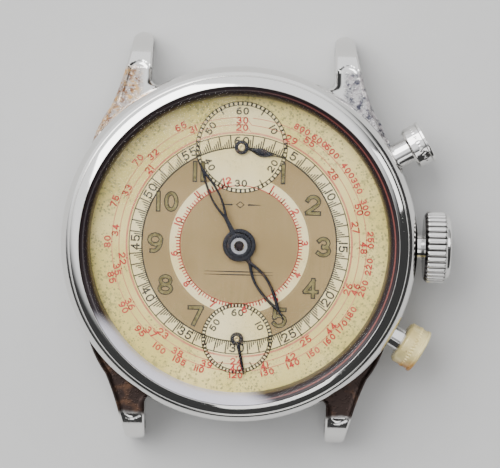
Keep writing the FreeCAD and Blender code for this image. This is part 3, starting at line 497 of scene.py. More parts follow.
@dataclass(frozen=True)
class StainedSteel(PolishedMetal):
    """Polished steel, pitted and stained in the hollow of each lug beside the bezel."""

    golden: Colour = (0.66, 0.40, 0.17)
    brown: Colour = (0.24, 0.12, 0.065)
    sooty: Colour = (0.040, 0.026, 0.022)
    slate: Colour = (0.07, 0.07, 0.10)
    pale: Colour = (0.42, 0.38, 0.40)
    inner_radius: float = 17.35
    outer_reach: float = 17.3
    lowest: float = 5.5

    def dress(self, board: Board) -> None:
        """The stain lies outside the bezel, above a height and short of a reach, and breaks up in blotches.

        Towards 12 it is brown and gold on the left and slate on the right; towards 6 it is near black.
        """
        across = board.add("SeparateXYZ", {0: board.place})
        reach = board.maths("ABSOLUTE", across.outputs["Y"], 0.0)
        soft = board.maths("MULTIPLY", board.noise(500, 3), 0.9 * MM)
        reach = board.maths("ADD", reach, soft)
        outside = board.between(board.radius(), self.inner_radius * MM, (self.inner_radius + 0.3) * MM)
        short = board.between(reach, (self.outer_reach - 0.1) * MM, (self.outer_reach + 0.7) * MM, 1.0, 0.0)
        high = board.between(across.outputs["Z"], self.lowest * MM, (self.lowest + 0.5) * MM)
        mask = board.maths("MULTIPLY", board.maths("MULTIPLY", outside, short), high)
        side = board.between(across.outputs["Y"], -1.0 * MM, 1.0 * MM)
        inset = board.between(board.maths("ABSOLUTE", across.outputs["X"], 0.0), 9.6 * MM, 10.3 * MM)
        inset = board.maths("MAXIMUM", inset, board.between(side, 0.0, 1.0, 1.0, 0.0))
        mask = board.maths("MULTIPLY", mask, inset)
        blotch = board.between(board.noise(2400, 6, rough=0.75), 0.42, 0.56)
        right = board.between(across.outputs["X"], -1.0 * MM, 1.0 * MM)
        deep = board.blend(right, self.brown, self.slate)
        light = board.blend(right, self.golden, self.pale)
        upper = board.blend(board.between(board.noise(1500, 4), 0.40, 0.58), deep, light)
        # Towards 6 the colour is near black, mixed up to half with brown in blotches.
        lower = board.blend(board.between(board.noise(700, 3), 0.54, 0.80, 0.0, 0.5), self.sooty, self.brown)
        kept = board.maths("MAXIMUM", blotch, board.between(side, 0, 1, 1, 0.45))
        mask = board.maths("MULTIPLY", mask, kept)
        pits = board.maths("MULTIPLY", board.between(board.cells(4200), 0.1, 0.4, 1.0, 0.0), mask)
        scratches = board.between(board.noise(900, 2, (2.0, 12.0, 3.0)), 0.62, 0.74)
        board.set(Base_Color=board.blend(mask, self.colour, board.blend(side, lower, upper)),
                  Roughness=board.between(mask, 0.0, 1.0, self.roughness + 0.02, 0.36),
                  Metallic=board.between(mask, 0.2, 1.0, 1.0, 0.8),
                  Normal=board.bump(pits, 0.03, 1.0, board.bump(scratches, self.scratch_mm, 0.6)))


@dataclass(frozen=True)
class GrainedMetal(Finish):
    """Satin metal with a fine grain, straight or turned in circles."""

    colour: Colour = (0.62, 0.60, 0.56)
    roughness: float = 0.28
    circular: bool = False

    def dress(self, board: Board) -> None:
        """Circular grain is noise on the radius alone; straight grain is stretched noise."""
        if self.circular:
            rings = board.add("CombineXYZ", {"X": board.radius()}).outputs[0]
            grain = board.add("TexNoise", {"Vector": rings, "Scale": 5200.0, "Detail": 3.0}).outputs[0]
        else:
            grain = board.noise(1400, 3, (1.0, 18.0, 1.0))
        wear = board.noise(130, 4)
        rough = board.between(board.maths("ADD", grain, wear), 0.7, 1.3, self.roughness - 0.08,
                              self.roughness + 0.12)
        board.set(Base_Color=self.colour, Metallic=1.0, Roughness=rough,
                  Normal=board.bump(grain, 0.004, 0.5))


@dataclass(frozen=True)
class AgedPlating(Finish):
    """Yellowed cream plating over brass, rubbed to bright metal in patches, amber towards 6."""

    colour: Colour = srgb(246, 229, 164)
    worn: Colour = (0.80, 0.72, 0.50)
    amber: Colour = srgb(186, 116, 24)

    def dress(self, board: Board) -> None:
        """Blotches shift the cream towards ochre, amber comes up towards 6 and brown dirt gathers."""
        blotch = board.between(board.noise(420, 5), 0.35, 0.68)
        cream = board.blend(blotch, self.colour, srgb(222, 200, 132))
        across = board.add("SeparateXYZ", {0: board.place}).outputs["Y"]
        across = board.maths("ADD", across, board.maths("MULTIPLY", board.noise(700, 3), 0.8 * MM))
        cream = board.blend(board.between(across, -11.6 * MM, -10.5 * MM, 0.85, 0.0), cream, self.amber)
        dirt = board.between(board.noise(900, 6, rough=0.7), 0.60, 0.74)
        tone = board.blend(dirt, cream, srgb(128, 92, 40))
        rub = board.between(board.noise(260, 3), 0.62, 0.72)
        board.set(Base_Color=board.blend(rub, tone, self.worn),
                  Metallic=board.between(rub, 0.0, 1.0, 0.25, 0.9),
                  Roughness=board.between(blotch, 0.0, 1.0, 0.18, 0.32), Coat_Weight=0.35,
                  Coat_Roughness=0.15, Normal=board.bump(dirt, 0.006, 0.6))


@dataclass(frozen=True)
class DialPaint(Finish):
    """Aged lacquer on the dial: a ground colour, foxing specks and slow blotches."""

    colour: Colour = srgb(244, 224, 150)
    shade: Colour = srgb(224, 206, 120)
    specks: float = 0.7
    brushed: bool = False

    def dress(self, board: Board) -> None:
        """Specks are scattered cells gated by a coarse noise; brushing is noise drawn out along Y."""
        slow = board.between(board.noise(150, 4), 0.34, 0.68)
        ground = board.blend(slow, self.colour, self.shade)
        if self.brushed:
            lines = board.noise(900, 3, (9.0, 0.35, 1.0))
            ground = board.blend(board.between(lines, 0.35, 0.7, 0.0, 0.4), ground, self.shade)
        rim = board.between(board.radius(), 11.5 * MM, 14.0 * MM, -0.04, 0.10)
        gate = board.between(board.maths("ADD", board.noise(260, 3), rim), 0.38, 0.60)
        size = board.between(gate, 0.0, 1.0, 0.08, 0.30)
        cell = board.cells(2900)
        spot = board.maths("MULTIPLY", board.maths("LESS_THAN", cell, size), self.specks)
        cloud = board.between(board.noise(2300, 4, rough=0.7), 0.50, 0.66, 0.0, self.specks * 0.8)
        cloud = board.maths("MULTIPLY", cloud, gate)
        marked = board.blend(board.maths("MAXIMUM", spot, cloud), ground, srgb(132, 126, 82))
        board.set(Base_Color=marked, Roughness=board.between(slow, 0.0, 1.0, 0.34, 0.5),
                  Specular_IOR_Level=0.35, Normal=board.bump(board.noise(1600, 4), 0.004, 0.35))


@dataclass(frozen=True)
class Ink(Finish):
    """Printing ink that sits slightly proud and has faded unevenly."""

    colour: Colour = (0.012, 0.011, 0.010)
    faded: Colour = (0.05, 0.045, 0.035)

    def dress(self, board: Board) -> None:
        """Slow noise fades the ink."""
        fade = board.between(board.noise(600, 4), 0.42, 0.75)
        board.set(Base_Color=board.blend(fade, self.colour, self.faded), Roughness=0.5,
                  Normal=board.bump(board.noise(4000, 2), 0.002, 0.4))


@dataclass(frozen=True)
class Lume(Finish):
    """Old luminous paint: dull olive, crumbly and darker in its hollows."""

    colour: Colour = srgb(152, 140, 92)
    dark: Colour = srgb(94, 86, 54)

    def dress(self, board: Board) -> None:
        """Coarse noise darkens it and roughens its face."""
        crumb = board.noise(1500, 6, rough=0.75)
        board.set(Base_Color=board.blend(board.between(crumb, 0.35, 0.68), self.dark, self.colour),
                  Roughness=0.85, Normal=board.bump(crumb, 0.03, 0.9))


@dataclass(frozen=True)
class Blueing(Finish):
    """Black-blued steel of the hands, with rubbed warm patches."""

    colour: Colour = (0.010, 0.011, 0.018)
    rubbed: Colour = (0.10, 0.055, 0.03)

    def dress(self, board: Board) -> None:
        """Noise lets the warm steel through and varies the gloss."""
        rub = board.between(board.noise(900, 4), 0.55, 0.78)
        board.set(Base_Color=board.blend(rub, self.colour, self.rubbed), Metallic=0.6,
                  Roughness=board.between(rub, 0.0, 1.0, 0.22, 0.42), Coat_Weight=0.4,
                  Coat_Roughness=0.12, Normal=board.bump(board.noise(2500, 3), 0.003, 0.4))


@dataclass(frozen=True)
class Acrylic(Finish):
    """Clear domed crystal with a trace of haze; nearly all light goes straight through."""

    alpha: float = 0.04

    def dress(self, board: Board) -> None:
        """Constant clear shader with faint rubbing in its roughness."""
        haze = board.between(board.noise(300, 5), 0.45, 0.8, 0.0, 0.03)
        board.set(Base_Color=(0.98, 0.97, 0.93), Roughness=haze, IOR=1.49, Transmission_Weight=1.0,
                  Alpha=self.alpha)
        board.material.surface_render_method = "BLENDED"


@dataclass(frozen=True)
class SmokedEdge(Finish):
    """The crystal's upright wall, which turns light away; drawn nearly black as painted shade, with painted
    brown glints.
    """

    # The nearly black colour is painted shade; the pale lilac colour is a painted reflection.
    colour: Colour = (0.018, 0.012, 0.014)
    glow: Colour = (0.72, 0.70, 0.78)

    def dress(self, board: Board) -> None:
        """Fine rings of noise on the radius make painted glints; a painted reflection lights the wall up
        between 6 and 8.
        """
        # Painted glints: fine lighter brown rings along the radius.
        rings = board.add("CombineXYZ", {"X": board.radius()}).outputs[0]
        lines = board.add("TexNoise", {"Vector": rings, "Scale": 9000.0, "Detail": 2.0}).outputs[0]
        painted_glint = board.between(lines, 0.56, 0.70)
        # Painted reflection: the wall turns pale lilac between 6 and 8.
        reflection_share = board.add("VectorMath", {0: board.place, 1: (-0.42, -0.9, 0.0)}, operation="DOT_PRODUCT")
        reflection_share = board.between(reflection_share.outputs["Value"], 11.6 * MM, 13.2 * MM, 0.0, 0.8)
        dark = board.blend(painted_glint, self.colour, (0.075, 0.036, 0.032))
        # Painted glint: a thin line round the wall at 15.16 to 15.34 mm, grey on the left and red on the
        # right.
        line = board.maths("MULTIPLY", board.between(board.radius(), 15.16 * MM, 15.22 * MM),
                           board.between(board.radius(), 15.28 * MM, 15.34 * MM, 1.0, 0.0))
        right = board.between(board.add("SeparateXYZ", {0: board.place}).outputs["X"], -2.0 * MM, 9.0 * MM)
        dark = board.blend(line, dark, board.blend(right, (0.075, 0.065, 0.070), (0.20, 0.060, 0.050)))
        board.set(Base_Color=board.blend(reflection_share, dark, self.glow), Roughness=0.32, IOR=1.49,
                  Specular_IOR_Level=0.25)


@dataclass(frozen=True)
class Ruby(Finish):
    """Synthetic ruby of the bearings."""

    def dress(self, board: Board) -> None:
        """Deep pink with a clear coat and faint cloud."""
        cloud = board.between(board.noise(1200, 3), 0.3, 0.7)
        board.set(Base_Color=board.blend(cloud, (0.42, 0.01, 0.05), (0.62, 0.03, 0.10)), Roughness=0.1,
                  Coat_Weight=1.0, Coat_Roughness=0.03)


@dataclass(frozen=True)
class Paper(Finish):
    """Pale studio floor with a soft tooth."""

    colour: Colour = (0.60, 0.597, 0.588)

    def dress(self, board: Board) -> None:
        """Slight tone and height variation."""
        tooth = board.noise(500, 5)
        board.set(Base_Color=board.blend(tooth, self.colour, tuple(0.96 * c for c in self.colour)),
                  Roughness=0.8, Normal=board.bump(tooth, 0.02, 0.3))


class Shade(Enum):
    """The named finishes of this watch."""

    STEEL = PolishedMetal("steel_polished")
    BEZEL = PolishedMetal("steel_bezel", roughness=0.05, haze=0.07)
    CASE = StainedSteel("steel_stained")
    CROWN = FlutedSteel("steel_crown", roughness=0.09, haze=0.10)
    BACK = GrainedMetal("steel_turned", (0.66, 0.65, 0.62), 0.24, True)
    NICKEL = GrainedMetal("nickel_grained", (0.72, 0.69, 0.62), 0.30)
    TEMPERED = GrainedMetal("steel_tempered", (0.42, 0.42, 0.44), 0.26)
    GILT = GrainedMetal("brass_gilt", (0.83, 0.62, 0.28), 0.26, True)
    BRASS = PolishedMetal("brass_pivot", (0.78, 0.62, 0.30), 0.18)
    CAP = AgedPlating("plating_aged")
    CREAM = DialPaint("dial_cream")
    CREAM_CLEAN = DialPaint("dial_cream_inner", srgb(250, 235, 182), srgb(240, 219, 152), 0.18)
    KHAKI = DialPaint("dial_khaki", srgb(164, 140, 98), srgb(150, 126, 84), 0.30, True)
    BLACK = Ink("ink_black")
    RED = Ink("ink_red", srgb(186, 34, 40), srgb(204, 84, 74))
    PINK = Ink("ink_pink", srgb(206, 112, 92), srgb(222, 160, 128))
    LUME = Lume("lume_old")
    HAND = Blueing("hand_blued")
    CRYSTAL = Acrylic("crystal_clear")
    # The crystal wall's finish: painted shade with painted glints and a painted reflection.
    EDGE = SmokedEdge("crystal_edge")
    RUBY = Ruby("ruby")
    SPRING = GrainedMetal("steel_blue", (0.10, 0.14, 0.34), 0.25)
    FLOOR = Paper("floor_paper")


# ---------------------------------------------------------------- numerals


def arc(x: float, y: float, wide: float, tall: float, start: float, end: float, steps: int = 9) -> np.ndarray:
    """Points along an ellipse about x, y between two angles in degrees, anticlockwise from +X."""
    turn = np.radians(np.linspace(start, end, steps))
    return np.column_stack([x + wide * np.cos(turn), y + tall * np.sin(turn)])


@dataclass(frozen=True)
class Numerals:
    """Plain round numerals drawn as strokes in a box one unit high, centred on the origin."""

    half: float = 0.36

    def strokes(self, digit: str) -> list[np.ndarray]:
        """Centre lines of one digit, one array for each stroke of the pen."""
        a = self.half
        drawn = {
            "0": [arc(0, 0, a, 0.5, 90, 450, 17)],
            "1": [[(0, -0.5), (0, 0.5)]],
            "2": [np.vstack([arc(0, 0.2, a, 0.3, 165, -35), [(-a, -0.46)]]), [(-a, -0.5), (a, -0.5)]],
            "3": [arc(0, 0.24, 0.85 * a, 0.26, 150, -90), arc(0, -0.24, a, 0.26, 90, -150)],
            "4": [[(0.14, -0.5), (0.14, 0.5)], [(0.14, 0.46), (-a, -0.2)], [(-a, -0.22), (a, -0.22)]],
            "5": [[(0.85 * a, 0.5), (-0.75 * a, 0.5)], [(-0.75 * a, 0.48), (-0.85 * a, 0.02)],
                  arc(-0.02, -0.18, a, 0.32, 140, -150, 11)],
            "6": [arc(0, -0.2, a, 0.3, 90, 450, 13), arc(0.12, -0.2, 0.48, 0.7, 80, 176, 7)],
            "7": [[(-a, 0.5), (a, 0.5)], [(a, 0.46), (-0.1, -0.5)]],
            "8": [arc(0, 0.25, 0.85 * a, 0.25, 90, 450, 13), arc(0, -0.25, a, 0.25, 90, 450, 13)],
        }
        if digit == "9":
            return [-stroke for stroke in drawn["6"]]
        return [np.array(stroke, float) for stroke in drawn[digit]]

    def written(self, text: str, tall: float, wide: float, pen: float, low: float, high: float,
                end: float = 0.5) -> Shell:
        """A number centred on the origin, upright along +Y.

        Args:
            text: Its digits.
            tall: Height over the pen's centre line.
            wide: How much wider than its height allows a digit is drawn.
            pen: Width of the stroke.
            low: Height of the film's underside.
            high: Height of its top.
            end: How many pen widths a stroke runs past its end.

        Returns:
            All strokes as one surface.
        """
        spans = [0.0 if digit == "1" else 2 * self.half * tall * wide for digit in text]
        gap = 0.22 * tall * wide
        at = -(sum(spans) + gap * (len(text) - 1)) / 2 - pen * (len(text) - 1) / 2
        parts = []
        for digit, span in zip(text, spans):
            for over, stroke in enumerate(self.strokes(digit)):
                top = high + 0.003 * over
                looped = bool(np.allclose(stroke[0], stroke[-1]))
                line = (stroke[:-1] if looped else stroke) * [tall * wide, tall] + [at + span / 2, 0]
                parts.append(ribbon(line, pen, low, top, looped, 0.0 if looped else end * pen))
            at += span + gap + pen
        return merged(parts)


def around(shell: Shell, radius: float, clock: float) -> Shell:
    """Put an upright shape on a circle at a clock angle, its head outwards above and inwards below."""
    if 95 < clock % 360 < 265:
        shell = shell.spun(math.pi)
    return shell.moved(y=radius).spun(-math.radians(clock))


# ---------------------------------------------------------------- case


def through(start: Sequence[float], middle: Sequence[float], end: Sequence[float],
            steps: int = 12) -> np.ndarray:
    """Points along the circular arc through three points.

    Args:
        start: First point.
        middle: A point between.
        end: Last point.
        steps: Number of points.

    Returns:
        Array of steps x 2.
    """
    (ax, ay), (bx, by), (cx, cy) = start, middle, end
    twice = 2 * (ax * (by - cy) + bx * (cy - ay) + cx * (ay - by))
    squares = [p[0] ** 2 + p[1] ** 2 for p in (start, middle, end)]
    x = (squares[0] * (by - cy) + squares[1] * (cy - ay) + squares[2] * (ay - by)) / twice
    y = (squares[0] * (cx - bx) + squares[1] * (ax - cx) + squares[2] * (bx - ax)) / twice
    first, mid, last = (math.atan2(p[1] - y, p[0] - x) for p in (start, middle, end))
    sweep = (last - first) % TURN
    if (mid - first) % TURN > sweep:
        sweep -= TURN
    turn = first + sweep * np.linspace(0, 1, steps)
    radius = math.hypot(ax - x, ay - y)
    return np.column_stack([x + radius * np.cos(turn), y + radius * np.sin(turn)])


@dataclass
class Case:
    """Bezel, mid-case with its four lugs, back and the ring under the crystal."""

    bezel_radius: float = field(default_factory=lambda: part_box("bezel")[1].x / MM)
    bezel_low: float = field(default_factory=lambda: node_low("bezel"))
    bezel_high: float = field(default_factory=lambda: node_high("bezel"))
    ring_low: float = 1.9
    ring_high: float = 6.38
    bore: float = 15.05
    lug_inner: float = 9.0
    lug_reach: float = field(default_factory=lambda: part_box("mid_case")[1].y / MM)
    lug_top: float = 6.35
    bar_y: float = 18.9
    bar_z: float = 1.9

    def build(self) -> None:
        """Make every piece of the case."""
        self.bezel()
        self.ring()
        self.lugs()
        self.back()
        self.inner_ring()

    def bezel(self) -> None:
        """The bezel: a turned outline with a round flank, a fine step and a gently crowned top band."""
        low, high, outer = self.bezel_low, self.bezel_high, self.bezel_radius
        flank = through((outer, high - 2.05), (17.22, high - 1.22), (16.70, high - 0.68), 16)
        band = through((16.58, high - 0.50), (16.15, high - 0.20), (15.72, high - 0.03), 10)
        inner = rounded([(15.72, high - 0.03), (15.64, high, 0.03), (15.60, high - 0.45, 0.03),
                         (15.32, high - 0.45), (15.32, high - 1.75, 0.1), (self.bore, high - 1.75, 0.0),
                         (self.bore, low), (outer - 0.15, low, 0.08), (outer, low + 0.15, 0.08),
                         (outer, high - 2.05)], closed=False)
        step = np.array([(16.665, high - 0.70), (16.64, high - 0.72), (16.61, high - 0.70),
                         (16.60, high - 0.54)])
        outline = np.vstack([flank, step, band, inner[1:-1]])
        piece("bezel_ring", lathe(outline, steps=360), Shade.BEZEL, "case", ["bezel"],
              crease=50)

    def ring(self) -> None:
        """The mid-case ring: a turned outline whose flank swells out towards the bezel."""
        low, high = self.ring_low, self.ring_high
        flank = through((16.35, low + 0.03), (17.03, 2.85), (17.25, 4.2), 14)
        rest = rounded([(17.25, 4.2), (17.25, high, 0.07), (self.bore, high), (self.bore, low),
                        (16.35, low + 0.03)], closed=False)
        holes = merged([self.side_hole(0.0, 4.45, 1.22), self.side_hole(30.0, 4.2, 0.9),
                        self.side_hole(-30.0, 4.2, 0.9)])
        shell = lathe(np.vstack([flank, rest[1:-1]]), steps=360)
        piece("case_ring", shell, Shade.STEEL, "case", ["mid_case"], holes)

    @staticmethod
    def side_hole(angle: float, height: float, radius: float) -> Shell:
        """A bar through the case wall at an angle and a height, to be cut away."""
        bar = ring(0.0, radius, 14.0, 18.2, 48).laid()
        return bar.spun(math.radians(angle)).moved(z=height)

    def lugs(self) -> None:
        """The four lugs, one shape mirrored, each drilled through for a strap bar."""
        shape = self.lug()
        drill = ring(0.0, 0.5, 7.0, 14.0, 48).laid().moved(y=self.bar_y, z=self.bar_z)
        for name, x, y in (("12_right", 1, 1), ("12_left", -1, 1), ("6_right", 1, -1), ("6_left", -1, -1)):
            flip = np.array([x, y, 1.0])
            piece("lug_" + name, Shell(shape.points * flip, shape.quads), Shade.CASE, "case",
                  ["mid_case"], Shell(drill.points * flip, drill.quads), crease=28)

    def lug(self, stations: int = 110, across: int = 20) -> Shell:
        """The lug towards +X and +Y: at each distance y its section is a box with broken edges.

        The box's sides and its top and bottom follow arcs in plan and in side view. Beside the bezel the
        top is hollowed: the hollow's depth rises with the distance from the top's two edges and from a
        bowed line across the lug.

        Args:
            stations: Sections along the lug.
            across: Points across its top.

        Returns:
            The lug's closed surface.
        """
        tip, inner = self.lug_reach, self.lug_inner
        fillet = np.vstack([(inner - 0.9, 15.2), arc(inner - 0.8, 16.08, 0.8, 0.8, -90, 0, 8)])
        inside = np.vstack([[(13.4, 8.0), (13.4, 8.9), (inner - 0.1, 13.6)], fillet, [(inner, 19.65)],
                            through((inner, 19.65), (9.25, 20.2), (9.85, tip))[1:]])
        outside = np.vstack([[(15.06, 8.0)], through((14.95, 8.42), (14.05, 11.3), (12.92, 13.2)),
                             through((12.92, 13.2), (11.98, 15.6), (10.97, 19.6))[1:],
                             through((10.97, 19.6), (10.7, 20.18), (9.85, tip))[1:]])
        top = np.vstack([[(8.0, self.lug_top), (17.1, self.lug_top)],
                         through((17.1, self.lug_top), (19.25, 4.4), (tip, 1.2), 30)[1:]])
        under = np.vstack([[(8.0, 1.9), (14.6, 1.9)], through((14.6, 1.9), (16.9, 1.35), (19.2, 0.3))[1:],
                           [(19.95, 0.3)], through((19.95, 0.3), (20.32, 0.65), (tip, 1.2))[1:]])
        y = 8.0 + (tip - 8.0) * np.sin(np.linspace(0, 1, stations) ** 1.15 * math.pi / 2)
        x_in, x_out = np.interp(y, inside[:, 1], inside[:, 0]), np.interp(y, outside[:, 1], outside[:, 0])
        z_top, z_low = np.interp(y, top[:, 0], top[:, 1]), np.interp(y, under[:, 0], under[:, 1])
        wide, tall = x_out - x_in, z_top - z_low
        edge = np.minimum(np.minimum(0.30, 0.3 * wide), 0.3 * tall)[:, None]
        quarter = np.radians(np.linspace(0, 90, 5))
        s, c = 1 - np.sin(quarter), 1 - np.cos(quarter)
        u = np.linspace(-1, 1, across)
        middle, half = (x_in + x_out)[:, None] / 2, wide[:, None] / 2 - 0.6 * edge
        crown_x = middle + u * half
        near = np.minimum((1 - np.abs(u)) * half, (17.85 - 0.55 * u ** 2 - y[:, None]) * 0.8)
        hollow = 0.26 * np.clip((near - 0.04) / 0.30, 0, 1) ** 0.6
        crown_z = z_top[:, None] - hollow + 0 * u
        left, right = x_in[:, None], x_out[:, None]
        roof, base = z_top[:, None], z_low[:, None]
        xs = [left + edge * s[::-1], right - edge * c[::-1], right, crown_x[:, ::-1], left]
        zs = [base + edge * c[::-1], base + edge * s[::-1], roof - 0.6 * edge, crown_z[:, ::-1],
              roof - 0.6 * edge]
        x_all, z_all = np.concatenate(xs, 1), np.concatenate(zs, 1)
        points = np.stack([x_all, np.broadcast_to(y[:, None], x_all.shape), z_all], -1)
        return grid(points)

    def back(self) -> None:
        """The snap-on back: a turned dish with a flat seat, a bead at its rim and a step inside."""
        rim = through((13.15, 0.16), (15.0, 0.62), (16.1, 1.55), 14)
        groove = rounded([(12.45, 0), (12.6, 0, 0.05), (12.85, 0.16, 0.05), (13.15, 0.16)], closed=False)
        inside = [(16.1, 1.86), (16.06, 1.9), (15.03, 1.9), (15.03, 2.5), (14.53, 2.5), (14.53, 1.8),
                  (13.5, 0.7), (0.0, 0.7)]
        outline = np.vstack([[(0.0, 0.0), (12.45, 0.0)], groove[1:-1], rim, inside])
        notch = lathe(np.array([[0, -1.6], [0.5, -1.6], [0.5, 1.6], [0, 1.6]]), False, 24).laid()
        piece("back_cover", lathe(outline, False, 300), Shade.BACK, "case", ["case_back"],
              notch.moved(y=-16.35, z=1.75))

    def inner_ring(self) -> None:
        """The ring that seats the crystal over the dial's edge, bright in itself but drawn in the crystal
        wall's painted shade.
        """
        outline = rounded([(14.62, 7.22), (15.03, 7.22), (15.03, 7.65), (14.74, 7.65, 0.05)])
        piece("seat_ring", lathe(outline), Shade.EDGE, "case", ["reflector_ring"])


@dataclass
class CrystalGlass:
    """The domed crystal: a clear cap over an upright wall drawn dark as painted shade."""

    radius: float = 15.3
    edge: float = 9.2
    apex: float = field(default_factory=lambda: node_high("crystal"))
    wall: float = 0.7

    def build(self) -> None:
        """Make the clear cap and the wall."""
        rise = self.apex - self.edge
        ball = (self.radius ** 2 + rise ** 2) / (2 * rise)
        outer = self.dome(ball, self.radius, self.apex)
        inner = self.dome(ball - self.wall, self.radius - self.wall, self.apex - self.wall)
        piece("crystal_cap", lathe(np.vstack([outer, inner[::-1]]), False, 200), Shade.CRYSTAL, "case",
              ["crystal"])
        # The wall, and a strip that fills the gap under the bezel's inner edge, are drawn opaque and dark:
        # painted shade.
        lip = self.edge - 0.12
        seat = self.radius - 0.02
        wall = np.vstack([[(seat, lip - 0.1), (15.58, lip - 0.1), (15.58, lip + 0.16), (15.3, lip + 0.05)],
                          through((15.26, lip), (15.0, lip - 0.16), (14.70, lip - 0.62), 10),
                          [(14.62, lip - 0.9), (14.62, 7.67), (seat, 7.67)]])
        piece("crystal_wall", lathe(wall, steps=300), Shade.EDGE, "case", ["crystal"])

    @staticmethod
    def dome(ball: float, radius: float, apex: float) -> np.ndarray:
        """Outline of a spherical cap from the axis out: height falls as ball - sqrt(ball^2 - r^2)."""
        r = np.linspace(0, radius, 40)
        return np.column_stack([r, apex - ball + np.sqrt(ball ** 2 - r ** 2)])


# ---------------------------------------------------------------- dial


